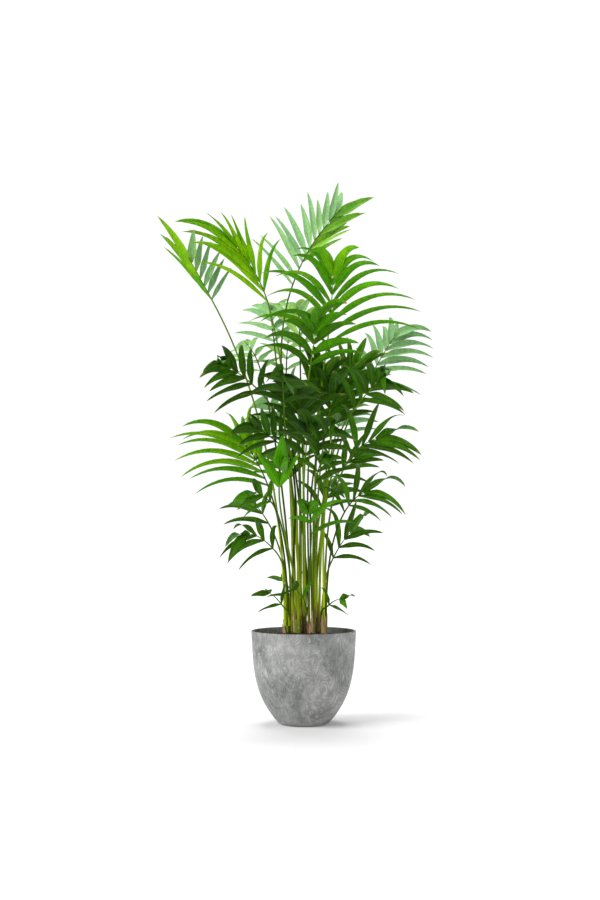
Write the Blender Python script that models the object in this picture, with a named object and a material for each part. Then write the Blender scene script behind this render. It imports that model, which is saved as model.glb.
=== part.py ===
"""A kentia palm grown as several seedlings in one clump, in a round tapered planter.

Metres, +Z up, the front faces -Y. The origin is the centre of the planter's base.
"""

import math
import random
from collections import namedtuple

import bmesh
import bpy
import numpy as np
from mathutils.bvhtree import BVHTree

# Planter
PLANTER_HEIGHT = 0.310
RIM_RADIUS = 0.175
BASE_RADIUS = 0.080
BASE_FLARE = 0.95
RIM_FLARE = 0.05
WALL = 0.007
FLOOR = 0.012
PLANTER_STEPS = 40
PROFILE_STEPS = 9

# Soil
SOIL_BELOW_RIM = 0.020
SOIL_EDGE_DROP = 0.006
SOIL_FLAT_RADIUS = 0.105
GAP = 0.0004

# Palm, measured from the top of the soil
PALM_HEIGHT = 1.53
PALM_SPREAD = 0.50
TABLE_HEIGHT = 1.53
TABLE_SPREAD = 0.50
STEM_RADIUS = 0.0125
STEM_TOP_RADIUS = 0.0125
STEM_STEPS = 10
STALK_RADIUS = 0.0034
STALK_TOP_RADIUS = 0.0026
RACHIS_TIP_RADIUS = 0.0013
STALK_STEPS = 8
STALK_CORNER = 1.2
LEAST_ANGLE = 3.0  # a leaflet never leans over its own rachis, in degrees
LEAST_RISE = 0.05
LEAFLET_WIDTH = 0.024
LEAFLET_THICKNESS = 0.0011
LEAFLET_FOLD = 0.16
BEND_POWER = 1.7
ROOT_WIDTH = 0.011

# Free space kept round every stalk and leaflet
STALK_CLEARANCE = 0.0022
LEAF_CLEARANCE = 0.0014
OWN_CLEARANCE = 0.0007

SOIL_TOP = PLANTER_HEIGHT - SOIL_BELOW_RIM
UP = np.array((0.0, 0.0, 1.0))
DEPTH = np.array((0.0, 1.0, 0.0))

# One leaf stem of the clump: where it stands and how tall its sheath is.
Stem = namedtuple("Stem", "name x y height")
STEMS = (
    Stem("stem_far_left", -0.056, -0.012, 0.036),
    Stem("stem_left_back", -0.040, 0.032, 0.048),
    Stem("stem_left_front", -0.022, -0.036, 0.060),
    Stem("stem_middle", -0.004, 0.002, 0.066),
    Stem("stem_back", 0.012, 0.044, 0.044),
    Stem("stem_right_front", 0.026, -0.032, 0.042),
    Stem("stem_right", 0.044, 0.010, 0.062),
    Stem("stem_far_right", 0.066, -0.022, 0.046),
    Stem("stem_back_left", -0.016, 0.070, 0.050),
    Stem("stem_back_right", 0.046, 0.064, 0.048),
)

# One side of a blade: how many leaflets, the reach of the lowest and the topmost,
# and their angles from the rachis in degrees. "left" and "right" are the sides
# met on walking up the rachis and looking from the front.
Side = namedtuple("Side", "count reach_low reach_top angle_low angle_top")

# A frond: its stem, where the blade begins, its middle and its tip, which face
# it turns to the front (+1 upper, -1 under), droop, and width as a share.
Frond = namedtuple("Frond", "name stem base mid tip face droop width left right")

FRONDS = (
    Frond("frond_front_high", 5, (0.075, -0.060, 0.950), (0.090, -0.130, 1.085),
          (0.094, -0.200, 1.200), 1, 1.25, 1.0,
          Side(8, 0.33, 0.20, 46, 13), Side(8, 0.36, 0.21, 46, 16)),
    Frond("frond_front_centre", 3, (0.020, -0.150, 0.880), (0.033, -0.195, 0.960),
          (0.045, -0.245, 1.025), 1, 1.1, 1.45,
          Side(5, 0.21, 0.14, 48, 10), Side(5, 0.19, 0.14, 46, 14)),
    Frond("frond_crown_back", 3, (-0.045, 0.000, 1.155), (0.026, 0.090, 1.325),
          (0.132, 0.205, 1.475), -1, 0.20, 1.1,
          Side(11, 0.26, 0.20, 42, 17), Side(8, 0.20, 0.22, 22, 7)),
    Frond("frond_far_left", 0, (-0.305, 0.000, 1.120), (-0.341, -0.025, 1.185),
          (-0.384, -0.055, 1.262), -1, 0.22, 0.9,
          Side(6, 0.19, 0.18, 10, 3), Side(6, 0.13, 0.11, 58, 32)),
    Frond("frond_left_high", 1, (-0.118, 0.020, 1.110), (-0.166, 0.020, 1.225),
          (-0.244, 0.000, 1.325), 1, 0.75, 1.0,
          Side(7, 0.27, 0.23, 26, 8), Side(6, 0.18, 0.17, 28, 7)),
    Frond("frond_mid_left", 2, (-0.135, -0.100, 0.800), (-0.205, -0.165, 0.860),
          (-0.270, -0.230, 0.890), 1, 0.8, 1.15,
          Side(6, 0.18, 0.13, 48, 12), Side(6, 0.18, 0.13, 42, 12)),
    Frond("frond_core_left", 2, (-0.065, -0.150, 0.760), (-0.067, -0.230, 0.820),
          (-0.070, -0.310, 0.855), 1, 0.9, 1.8,
          Side(4, 0.17, 0.14, 50, 12), Side(4, 0.17, 0.14, 50, 12)),
    Frond("frond_right_mid", 7, (0.160, -0.090, 0.745), (0.215, -0.150, 0.810),
          (0.260, -0.220, 0.850), 1, 0.9, 1.3,
          Side(6, 0.19, 0.14, 50, 12), Side(5, 0.18, 0.14, 46, 12)),
    Frond("frond_core_low", 5, (0.050, -0.170, 0.615), (0.072, -0.225, 0.665),
          (0.095, -0.280, 0.700), 1, 0.7, 1.7,
          Side(3, 0.16, 0.12, 45, 14), Side(3, 0.15, 0.12, 50, 14)),
    Frond("frond_left_young", 2, (-0.080, -0.180, 0.490), (-0.078, -0.192, 0.528),
          (-0.072, -0.208, 0.558), 1, 0.35, 1.75,
          Side(2, 0.15, 0.14, 25, 9), Side(2, 0.15, 0.16, 20, 7)),
    Frond("frond_right_low", 7, (0.155, -0.020, 0.595), (0.195, -0.050, 0.635),
          (0.250, -0.085, 0.660), 1, 0.8, 0.95,
          Side(5, 0.20, 0.20, 50, 12), Side(4, 0.17, 0.20, 42, 10)),
    Frond("frond_left_arch", 0, (-0.115, 0.000, 0.490), (-0.155, -0.020, 0.580),
          (-0.205, -0.045, 0.655), 1, 1.15, 0.9,
          Side(8, 0.27, 0.27, 46, 12), Side(5, 0.18, 0.18, 30, 10)),
    Frond("frond_left_grey", 2, (-0.060, -0.060, 0.620), (-0.115, -0.110, 0.665),
          (-0.165, -0.160, 0.695), 1, 0.6, 1.05,
          Side(5, 0.15, 0.13, 44, 12), Side(5, 0.16, 0.13, 40, 12)),
    Frond("frond_right_high", 6, (0.185, 0.050, 0.795), (0.263, 0.140, 0.938),
          (0.325, 0.220, 1.040), -1, 0.75, 1.15,
          Side(8, 0.15, 0.15, 40, 14), Side(7, 0.24, 0.20, 44, 12)),
    Frond("frond_upper_mid", 8, (-0.100, 0.100, 0.985), (-0.112, 0.170, 1.080),
          (-0.125, 0.250, 1.150), -1, 0.5, 1.25,
          Side(5, 0.19, 0.14, 42, 12), Side(5, 0.17, 0.15, 36, 10)),
    Frond("frond_back_centre", 4, (-0.060, 0.140, 0.890), (-0.057, 0.230, 0.985),
          (-0.050, 0.330, 1.050), -1, 0.4, 1.05,
          Side(5, 0.16, 0.12, 42, 12), Side(5, 0.16, 0.12, 42, 12)),
    Frond("frond_back_left", 1, (-0.145, 0.120, 0.890), (-0.170, 0.200, 0.960),
          (-0.205, 0.290, 1.015), -1, 0.5, 1.0,
          Side(5, 0.18, 0.13, 46, 12), Side(5, 0.15, 0.12, 40, 12)),
    Frond("frond_back_right", 9, (0.050, 0.120, 0.765), (0.065, 0.210, 0.850),
          (0.090, 0.310, 0.910), -1, 0.4, 1.1,
          Side(5, 0.18, 0.14, 44, 12), Side(5, 0.18, 0.13, 44, 12)),
    Frond("frond_fill_front", 3, (-0.015, -0.045, 0.655), (-0.015, -0.090, 0.740),
          (-0.020, -0.150, 0.800), 1, 0.7, 1.5,
          Side(5, 0.19, 0.15, 46, 12), Side(5, 0.19, 0.15, 46, 12)),
    Frond("frond_fill_right", 9, (0.105, 0.085, 0.660), (0.132, 0.150, 0.745),
          (0.162, 0.225, 0.810), -1, 0.55, 1.3,
          Side(4, 0.19, 0.15, 42, 12), Side(5, 0.19, 0.14, 46, 14)),
    Frond("frond_fill_left", 1, (-0.060, 0.100, 0.660), (-0.090, 0.180, 0.745),
          (-0.130, 0.270, 0.805), -1, 0.5, 1.35,
          Side(5, 0.19, 0.14, 44, 12), Side(5, 0.19, 0.14, 44, 12)),
    Frond("frond_fill_centre", 4, (0.030, 0.040, 0.710), (0.045, 0.020, 0.800),
          (0.060, 0.000, 0.875), 1, 0.6, 1.35,
          Side(5, 0.18, 0.14, 44, 12), Side(5, 0.19, 0.14, 44, 12)),
    Frond("frond_core_front", 3, (0.005, -0.100, 0.590), (0.010, -0.145, 0.650),
          (0.015, -0.200, 0.695), 1, 0.7, 1.5,
          Side(4, 0.17, 0.13, 48, 12), Side(4, 0.17, 0.13, 48, 12)),
    Frond("frond_core_right", 6, (0.075, -0.010, 0.690), (0.090, -0.040, 0.760),
          (0.105, -0.080, 0.815), 1, 0.7, 1.4,
          Side(4, 0.17, 0.13, 46, 12), Side(5, 0.18, 0.14, 46, 12)),
    Frond("frond_core_back", 8, (-0.026, 0.070, 0.700), (-0.035, 0.110, 0.770),
          (-0.045, 0.160, 0.820), -1, 0.6, 1.4,
          Side(4, 0.17, 0.13, 46, 12), Side(4, 0.17, 0.13, 46, 12)),
    Frond("frond_mid_right", 6, (0.120, 0.020, 0.780), (0.145, 0.040, 0.850),
          (0.175, 0.060, 0.905), 1, 0.7, 1.2,
          Side(5, 0.17, 0.13, 44, 12), Side(5, 0.17, 0.13, 46, 12)),
    Frond("frond_upper_back", 4, (-0.012, 0.050, 0.960), (-0.015, 0.090, 1.050),
          (-0.022, 0.140, 1.120), -1, 0.4, 1.0,
          Side(5, 0.18, 0.14, 38, 10), Side(5, 0.18, 0.14, 38, 10)),
    Frond("frond_low_front", 5, (0.040, -0.080, 0.505), (0.050, -0.115, 0.560),
          (0.065, -0.155, 0.595), 1, 0.7, 1.2,
          Side(3, 0.13, 0.11, 46, 12), Side(4, 0.14, 0.11, 46, 12)),
    Frond("frond_low_back", 8, (-0.046, 0.080, 0.520), (-0.065, 0.140, 0.575),
          (-0.085, 0.210, 0.610), 1, 0.7, 1.2,
          Side(4, 0.15, 0.12, 46, 12), Side(4, 0.15, 0.12, 46, 12)),
    Frond("frond_low_back_right", 9, (0.060, 0.120, 0.420), (0.080, 0.180, 0.475),
          (0.100, 0.250, 0.505), 1, 0.8, 1.1,
          Side(4, 0.15, 0.12, 46, 12), Side(4, 0.15, 0.12, 46, 12)),
    Frond("frond_right_inner", 9, (0.105, 0.040, 0.530), (0.145, 0.060, 0.575),
          (0.180, 0.080, 0.600), 1, 0.6, 0.95,
          Side(4, 0.12, 0.10, 55, 14), Side(4, 0.12, 0.11, 50, 14)),
    Frond("frond_right_outer", 7, (0.130, -0.060, 0.405), (0.165, -0.085, 0.455),
          (0.205, -0.115, 0.480), 1, 1.25, 0.85,
          Side(5, 0.18, 0.24, 48, 10), Side(4, 0.13, 0.20, 52, 14)),
    Frond("frond_right_base", 7, (0.095, 0.040, 0.250), (0.130, 0.065, 0.310),
          (0.165, 0.095, 0.350), 1, 1.05, 0.9,
          Side(4, 0.14, 0.13, 46, 12), Side(4, 0.13, 0.12, 52, 16)),
    Frond("frond_low_left_a", 2, (-0.105, -0.100, 0.445), (-0.135, -0.130, 0.465),
          (-0.165, -0.155, 0.475), 1, 0.7, 1.1,
          Side(3, 0.12, 0.11, 40, 12), Side(3, 0.12, 0.12, 36, 10)),
    Frond("frond_low_left_b", 1, (-0.115, 0.030, 0.370), (-0.140, 0.050, 0.410),
          (-0.162, 0.078, 0.435), 1, 1.1, 1.0,
          Side(3, 0.15, 0.13, 46, 14), Side(2, 0.12, 0.12, 38, 12)),
    Frond("frond_low_left_c", 0, (-0.095, -0.030, 0.285), (-0.145, -0.055, 0.330),
          (-0.185, -0.080, 0.340), 1, 1.4, 0.9,
          Side(4, 0.15, 0.15, 50, 16), Side(4, 0.12, 0.13, 40, 12)),
    Frond("frond_centre_small", 5, (0.025, -0.100, 0.335), (0.022, -0.120, 0.380),
          (0.015, -0.140, 0.415), 1, 0.8, 1.2,
          Side(2, 0.10, 0.09, 42, 12), Side(3, 0.17, 0.12, 55, 20)),
    Frond("frond_base_left", 0, (-0.070, -0.050, 0.105), (-0.095, -0.070, 0.135),
          (-0.115, -0.090, 0.150), 1, 0.45, 0.9,
          Side(2, 0.10, 0.10, 50, 16), Side(2, 0.09, 0.09, 40, 14)),
    Frond("frond_base_back", 4, (-0.030, 0.100, 0.125), (-0.050, 0.140, 0.155),
          (-0.070, 0.190, 0.180), 1, 0.5, 0.9,
          Side(2, 0.10, 0.09, 50, 16), Side(2, 0.10, 0.09, 40, 16)),
    Frond("frond_base_centre", 5, (0.000, -0.095, 0.130), (-0.015, -0.115, 0.150),
          (-0.025, -0.135, 0.165), 1, 0.5, 1.1,
          Side(1, 0.09, 0.07, 40, 20), Side(2, 0.10, 0.09, 40, 14)),
    Frond("frond_base_right", 7, (0.080, -0.060, 0.105), (0.100, -0.080, 0.122),
          (0.122, -0.100, 0.130), 1, 0.6, 1.0,
          Side(2, 0.09, 0.09, 45, 14), Side(2, 0.09, 0.08, 50, 18)),
)


def unit(vector):
    """The vector at length one."""
    return vector / math.sqrt(float(vector @ vector))


def placed(point):
    """A point of the table, scaled to this palm's size and set on the soil."""
    spread = PALM_SPREAD / TABLE_SPREAD
    rise = PALM_HEIGHT / TABLE_HEIGHT
    return np.array((point[0] * spread, point[1] * spread, SOIL_TOP + point[2] * rise))


def curve_points(knots, count):
    """Points and directions along a cubic through four control points."""
    a, b, c, d = knots
    t = np.linspace(0.0, 1.0, count)[:, None]
    s = 1.0 - t
    points = s**3 * a + 3 * s * s * t * b + 3 * s * t * t * c + t**3 * d
    ways = s * s * (b - a) + 2 * s * t * (c - b) + t * t * (d - c)
    return points, ways / np.linalg.norm(ways, axis=1)[:, None]


def heading(frond):
    """The compass angle from a frond's stem towards the foot of its blade."""
    stem = STEMS[frond.stem]
    return math.atan2(frond.base[1] - stem.y, frond.base[0] - stem.x)


def stalk_foot(frond):
    """Where a stalk leaves the top of its stem: a ring of places, in order of heading."""
    stem = STEMS[frond.stem]
    mates = sorted((f for f in FRONDS if f.stem == frond.stem), key=heading)
    ring = STEM_TOP_RADIUS - STALK_RADIUS * STALK_CORNER
    step = 2 * math.pi / len(mates)
    lag = sum(heading(f) - step * i for i, f in enumerate(mates)) / len(mates)
    turn = lag + step * mates.index(frond)
    x, y = stem.x + ring * math.cos(turn), stem.y + ring * math.sin(turn)
    return np.array((x, y, SOIL_TOP + GAP + stem.height + GAP))


def stalk_knots(frond, foot, sway):
    """Control points of the stalk, leaving upright and arriving along the rachis."""
    base, mid, tip = placed(frond.base), placed(frond.mid), placed(frond.tip)
    arrive = unit(4 * mid - 3 * base - tip)
    rise = float(np.linalg.norm(base - foot))
    first = foot + UP * max(rise * 0.36, LEAST_RISE) + np.array((sway[0], sway[1], 0.0)) * 0.6
    second = base - arrive * rise * 0.30 + np.array((sway[0], sway[1], 0.0))
    return foot, first, second, base


def rachis_knots(frond):
    """Control points of the rachis through its middle, as a cubic."""
    base, mid, tip = placed(frond.base), placed(frond.mid), placed(frond.tip)
    bend = 2 * mid - 0.5 * (base + tip)
    return base, base + (bend - base) * 2 / 3, tip + (bend - tip) * 2 / 3, tip


def filled_in(points, per_side):
    """A polyline with more points along each of its straight sides."""
    at = np.linspace(0, len(points) - 1, (len(points) - 1) * per_side + 1)
    spots = np.arange(len(points))
    return np.stack([np.interp(at, spots, points[:, k]) for k in range(3)], axis=1)


def stalk_line(frond, foot, sway):
    """Dense points down the stalk and rachis, with the radius at each."""
    stalk, _ = curve_points(stalk_knots(frond, foot, sway), STALK_STEPS)
    rachis, _ = curve_points(rachis_knots(frond), 8)
    stalk, rachis = filled_in(stalk, 12), filled_in(rachis, 4)
    radii = np.concatenate((
        np.linspace(STALK_RADIUS, STALK_TOP_RADIUS, len(stalk)),
        np.linspace(STALK_TOP_RADIUS, RACHIS_TIP_RADIUS, len(rachis)),
    ))
    return np.concatenate((stalk, rachis)), radii * STALK_CORNER


def sway_choices():
    """Sideways shifts to try, the smallest first, mostly in depth."""
    steps = [(0.0, 0.0)]
    for size in range(1, 24):
        for dx, dy in ((0, 1), (0, -1), (0.5, 0.8), (-0.5, 0.8), (0.5, -0.8), (-0.5, -0.8)):
            steps.append((0.006 * size * dx, 0.008 * size * dy))
    return steps


def line_room(line, radii, others, allowed):
    """The least free space between one line and the ones already placed."""
    least = 1.0
    for other, other_radii in others:
        apart = np.linalg.norm(line[:, None, :] - other[None, :, :], axis=2)
        room = apart - radii[:, None] - other_radii[None, :] - allowed[:, None]
        least = min(least, float(room.min()))
    return least


def place_stalks():
    """A foot and a sway for each frond, so that no two stalks come near."""
    lines, result = [], []
    for frond in FRONDS:
        foot = stalk_foot(frond)
        best = None
        for sway in sway_choices():
            line, radii = stalk_line(frond, foot, sway)
            near_foot = np.linalg.norm(line - foot, axis=1) < 0.09
            allowed = np.where(near_foot, 0.0003, STALK_CLEARANCE)
            room = line_room(line, radii, lines, allowed)
            if best is None or room > best[0]:
                best = (room, sway, line, radii)
            if room > 0:
                break
        lines.append((best[2], best[3]))
        result.append((foot, best[1]))
    return result


def blade_frame(frond, along):
    """The blade's sideways direction and the direction that faces the front."""
    side = unit(np.cross(DEPTH, along))
    return side, np.cross(side, along)


Leaflet = namedtuple("Leaflet", "frond pair side share reach angle droop width roll lift")


def pair_shares(frond):
    """Where along the rachis each pair of leaflets sits."""
    pairs = max(frond.left.count, frond.right.count)
    if pairs == 1:
        return [0.82]
    return [0.07 + 0.83 * i / (pairs - 1) for i in range(pairs)]


def leaflets_of(frond, chance):
    """Every leaflet of a frond, as first intended."""
    shares = pair_shares(frond)
    made = []
    for pair, share in enumerate(shares):
        for side, spec in ((-1, frond.left), (1, frond.right)):
            if pair < len(shares) - spec.count:
                continue
            low = len(shares) - spec.count
            t = (pair - low) / max(spec.count - 1, 1)
            reach = spec.reach_low + (spec.reach_top - spec.reach_low) * t
            reach *= (1 + 0.12 * math.sin(math.pi * t)) * chance.uniform(0.92, 1.06)
            angle = spec.angle_low + (spec.angle_top - spec.angle_low) * t
            angle += chance.uniform(-4, 4)
            end = pair == len(shares) - 1
            width = LEAFLET_WIDTH * frond.width * (1.35 if end else 1.0)
            width *= chance.uniform(0.85, 1.12) * (0.8 + 0.2 * min(1, t * 3))
            roll = 16 + chance.uniform(-8, 8)
            lift = 12 + chance.uniform(-7, 7)
            droop = frond.droop * chance.uniform(0.75, 1.25)
            made.append(Leaflet(frond, pair, side, share, reach, angle, droop, width, roll, lift))
    return made


def leaflet_line(leaf, steps):
    """Centres, width directions and face directions from the root to the tip."""
    frond = leaf.frond
    line, ways = curve_points(rachis_knots(frond), 101)
    at = int(round(leaf.share * 100))
    along = ways[at]
    side, front = blade_frame(frond, along)
    turn, lift = math.radians(max(leaf.angle, LEAST_ANGLE)), math.radians(leaf.lift)
    way = math.cos(turn) * along + math.sin(turn) * leaf.side * side
    way = unit(math.cos(lift) * way + math.sin(lift) * front * frond.face)
    fine = 24
    t = (np.arange(fine) + 0.5) / fine
    fall = unit(-UP + 0.35 * leaf.side * side)
    ways = way + (leaf.droop * t**BEND_POWER)[:, None] * fall
    ways /= np.linalg.norm(ways, axis=1)[:, None]
    start = line[at] + way * STALK_TOP_RADIUS * 0.4
    points = np.concatenate((start[None], start + np.cumsum(ways, axis=0) * leaf.reach / fine))
    pick = np.linspace(0, fine, steps + 1).round().astype(int)
    points = points[pick]
    ways = ways[np.clip(pick - 1, 0, fine - 1)]
    roll = math.radians(leaf.roll) * frond.face
    wides = along - (ways @ along)[:, None] * ways
    wides /= np.linalg.norm(wides, axis=1)[:, None]
    faces = np.cross(wides, ways) * -leaf.side
    faces *= np.sign(faces @ front)[0]
    turned = math.cos(roll) * wides + math.sin(roll) * faces
    return points, turned, math.cos(roll) * faces - math.sin(roll) * wides


def width_share(t):
    """The leaflet's width along its length, as a share of its widest."""
    return min(1.0, 0.30 + 2.6 * t) * min(1.0, 1.28 * (1 - t) ** 0.62)


def leaflet_sections(leaf, steps, grow=0.0):
    """The four corners of each section, then the tip point."""
    points, wides, faces = leaflet_line(leaf, steps)
    sections = []
    for i in range(1, steps):
        t = i / steps
        half = 0.5 * leaf.width * width_share(t) + grow
        ridge = faces[i] * leaf.frond.face * half * LEAFLET_FOLD * 2
        thick = faces[i] * (LEAFLET_THICKNESS / 2 + grow)
        centre = points[i] - ridge / 2
        sections.append((
            centre - wides[i] * half,
            centre + ridge - thick,
            centre + wides[i] * half,
            centre + ridge + thick,
        ))
    return sections, points[-1] + (points[-1] - points[-2]) * grow * 4


def steps_of(leaf):
    """Sections along a leaflet: more on a long arching one."""
    return 4 if leaf.reach * leaf.droop > 0.062 else 3


def hull_tree(leaf, grow, skip):
    """A search tree round a leaflet grown by some clearance, past its root."""
    sections, tip = leaflet_sections(leaf, steps_of(leaf), grow)
    points, wides, faces = leaflet_line(leaf, 12)
    start = points[skip]
    half = leaf.width * 0.25 + grow
    first = (
        start - wides[skip] * half,
        start - faces[skip] * grow * 1.5,
        start + wides[skip] * half,
        start + faces[skip] * grow * 1.5,
    )
    corners = [c for section in (first, *sections) for c in section] + [tip]
    rings = len(sections) + 1
    polygons = [(3, 2, 1, 0)]
    for ring in range(rings - 1):
        for k in range(4):
            n = (k + 1) % 4
            polygons.append((4 * ring + k, 4 * ring + n, 4 * ring + 4 + n, 4 * ring + 4 + k))
    for k in range(4):
        polygons.append((4 * rings - 4 + k, 4 * rings - 4 + (k + 1) % 4, 4 * rings))
    tree = BVHTree.FromPolygons([tuple(c) for c in corners], polygons)
    corners = np.array(corners)
    return tree, corners.min(axis=0), corners.max(axis=0)


def tube_tree(line, radii, grow):
    """A search tree round a stalk and its rachis."""
    corners, polygons = [], []
    rings = list(range(0, len(line), 4)) + [len(line) - 1]
    for ring, i in enumerate(rings):
        way = line[min(i + 1, len(line) - 1)] - line[max(i - 1, 0)]
        side = unit(np.cross(way, DEPTH))
        other = unit(np.cross(way, side))
        r = radii[i] + grow
        corners += [line[i] + r * side, line[i] + r * other]
        corners += [line[i] - r * side, line[i] - r * other]
        if ring:
            for k in range(4):
                n, b = (k + 1) % 4, 4 * ring - 4
                polygons.append((b + k, b + n, b + 4 + n, b + 4 + k))
    tree = BVHTree.FromPolygons([tuple(c) for c in corners], polygons)
    corners = np.array(corners)
    return tree, corners.min(axis=0), corners.max(axis=0)


def tries():
    """Changes to try on a leaflet, the mildest first: tilt, turn and length."""
    found = []
    for short in (1.0, 0.85, 0.7, 0.55, 0.42, 0.3):
        for tilt in range(-8, 9):
            for turn in range(-3, 4):
                cost = abs(tilt) + 1.6 * abs(turn) + 22 * (1 - short)
                found.append((cost, tilt * 6.0, turn * 5.0, short))
    return sorted(found)


def changed(leaf, tilt, turn, short):
    """The leaflet tilted out of its blade, turned within it and shortened."""
    return leaf._replace(
        lift=leaf.lift + tilt, angle=leaf.angle + turn, reach=leaf.reach * short
    )


def ring_of(builder, centre, across, other, radius, steps):
    """A ring of corners round a centre."""
    corners = []
    for i in range(steps):
        turn = 2 * math.pi * (i + 0.5) / steps
        corners.append(builder.verts.new(
            centre + radius * (math.cos(turn) * across + math.sin(turn) * other)
        ))
    return corners


def bridge(builder, lower, upper, left_out=()):
    """Faces between two rings, less the ones that something grows from."""
    for i in range(len(lower)):
        if i in left_out:
            continue
        n = (i + 1) % len(lower)
        builder.faces.new((lower[i], lower[n], upper[n], upper[i]))


def outer_profile(steps):
    """Heights and radii of the planter's outside, a cubic from the base to the rim."""
    base = np.array((BASE_RADIUS, 0.0))
    rim = np.array((RIM_RADIUS, PLANTER_HEIGHT))
    low = base + np.array((BASE_FLARE, 1.0)) * 0.30 * PLANTER_HEIGHT
    high = rim - np.array((RIM_FLARE, 1.0)) * 0.42 * PLANTER_HEIGHT
    t = np.linspace(0.0, 1.0, steps)[:, None]
    s = 1.0 - t
    return s**3 * base + 3 * s * s * t * low + 3 * s * t * t * high + t**3 * rim


def inner_radius(height):
    """The planter's inside radius at a height above its base."""
    profile = outer_profile(60)
    return float(np.interp(height, profile[:, 1], profile[:, 0])) - WALL


def revolve(builder, profile, steps):
    """A closed body from a profile that starts and ends on the axis."""
    rings = [
        ring_of(builder, np.array((0.0, 0.0, height)), np.array((1.0, 0.0, 0.0)), DEPTH, r, steps)
        for r, height in profile
    ]
    for lower, upper in zip(rings, rings[1:]):
        bridge(builder, lower, upper)
    builder.faces.new(rings[0])
    builder.faces.new(rings[-1])


def planter_body():
    """The tapered planter: outside, rounded rim, inside and floor."""
    outside = [tuple(p) for p in outer_profile(PROFILE_STEPS)]
    outside[0:1] = [(BASE_RADIUS - 0.004, 0.0), (BASE_RADIUS + 0.001, 0.003)]
    outside[-1:] = [
        (RIM_RADIUS, PLANTER_HEIGHT - 0.002),
        (RIM_RADIUS - 0.002, PLANTER_HEIGHT),
        (RIM_RADIUS - WALL + 0.002, PLANTER_HEIGHT),
        (RIM_RADIUS - WALL, PLANTER_HEIGHT - 0.002),
    ]
    inside = []
    for share in (0.94, 0.78, 0.60, 0.42, 0.26, 0.13):
        inside.append((inner_radius(share * PLANTER_HEIGHT), share * PLANTER_HEIGHT))
    inside.append((inner_radius(FLOOR) - 0.004, FLOOR))
    builder = bmesh.new()
    revolve(builder, outside + inside, PLANTER_STEPS)
    return builder


def soil_body():
    """The soil, filling the planter with a flat middle and a lower edge."""
    edge = SOIL_TOP - SOIL_EDGE_DROP
    profile = [(inner_radius(FLOOR) - 0.006, FLOOR + GAP)]
    for share in (0.13, 0.26, 0.42, 0.60, 0.78):
        height = share * PLANTER_HEIGHT
        profile.append((inner_radius(height) - GAP - 0.0012, height))
    profile.append((inner_radius(edge) - GAP - 0.0012, edge))
    profile.append((SOIL_FLAT_RADIUS + 0.025, SOIL_TOP - SOIL_EDGE_DROP * 0.45))
    profile.append((SOIL_FLAT_RADIUS, SOIL_TOP))
    builder = bmesh.new()
    revolve(builder, profile, PLANTER_STEPS)
    return builder


def stem_body(stem):
    """One short sheathed stem, a little swollen at the soil."""
    builder = bmesh.new()
    rings = []
    for share, radius in ((0.0, 1.0), (0.12, 1.08), (0.45, 0.97), (0.8, 0.93), (1.0, 1.0)):
        wide = radius * (STEM_RADIUS if share < 0.9 else STEM_TOP_RADIUS)
        centre = np.array((stem.x, stem.y, SOIL_TOP + GAP + share * stem.height))
        rings.append(ring_of(builder, centre, np.array((1.0, 0.0, 0.0)), DEPTH, wide, STEM_STEPS))
    for lower, upper in zip(rings, rings[1:]):
        bridge(builder, lower, upper)
    builder.faces.new(rings[0])
    builder.faces.new(rings[-1])
    return builder


def body_tree(builder):
    """A search tree round a finished body that leaflets keep clear of."""
    corners = np.array([v.co for v in builder.verts])
    return BVHTree.FromBMesh(builder), corners.min(axis=0), corners.max(axis=0)


def hits(hull, others):
    """Whether this hull crosses any of the others."""
    tree, low, high = hull
    for other, other_low, other_high in others:
        if (low < other_high).all() and (high > other_low).all() and tree.overlap(other):
            return True
    return False


def place_leaflets(stalks):
    """All leaflets, moved by as little as keeps each clear of everything else."""
    bodies = [planter_body(), soil_body()] + [stem_body(stem) for stem in STEMS]
    chance = random.Random(11)
    tubes = []
    for frond, (foot, sway) in zip(FRONDS, stalks):
        line, radii = stalk_line(frond, foot, sway)
        tubes.append(tube_tree(line, radii, LEAF_CLEARANCE))
    choices = tries()
    placed_hulls = [body_tree(body) for body in bodies]
    result = []
    for index, frond in enumerate(FRONDS):
        other_tubes = tubes[:index] + tubes[index + 1:]
        own, found = [], []
        for leaf in leaflets_of(frond, chance):
            for cost, tilt, turn, share in choices:
                trial = changed(leaf, tilt, turn, share)
                hull = hull_tree(trial, LEAF_CLEARANCE, 0)
                if hits(hull, other_tubes) or hits(hull, placed_hulls):
                    continue
                if hits(hull_tree(trial, OWN_CLEARANCE, 3), own):
                    continue
                break
            else:
                continue
            found.append(trial)
            own.append(hull_tree(trial, OWN_CLEARANCE, 3))
        placed_hulls += [hull_tree(leaf, LEAF_CLEARANCE, 0) for leaf in found]
        result.append(found)
    return result


def material(name, color, roughness):
    """A plain Principled material."""
    made = bpy.data.materials.new(name)
    made.use_nodes = True
    shader = made.node_tree.nodes["Principled BSDF"]
    shader.inputs["Base Color"].default_value = (*color, 1.0)
    shader.inputs["Roughness"].default_value = roughness
    shader.inputs["Metallic"].default_value = 0.0
    made.diffuse_color = (*color, 1.0)
    return made


def add_object(name, mesh_builder, shade, smooth_angle=None):
    """A finished object from a filled bmesh."""
    bmesh.ops.recalc_face_normals(mesh_builder, faces=mesh_builder.faces)
    mesh = bpy.data.meshes.new(name)
    mesh_builder.to_mesh(mesh)
    mesh_builder.free()
    mesh.materials.append(shade)
    if smooth_angle is not None:
        mesh.shade_smooth()
        mesh.set_sharp_from_angle(angle=math.radians(smooth_angle))
    made = bpy.data.objects.new(name, mesh)
    bpy.context.scene.collection.objects.link(made)


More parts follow.
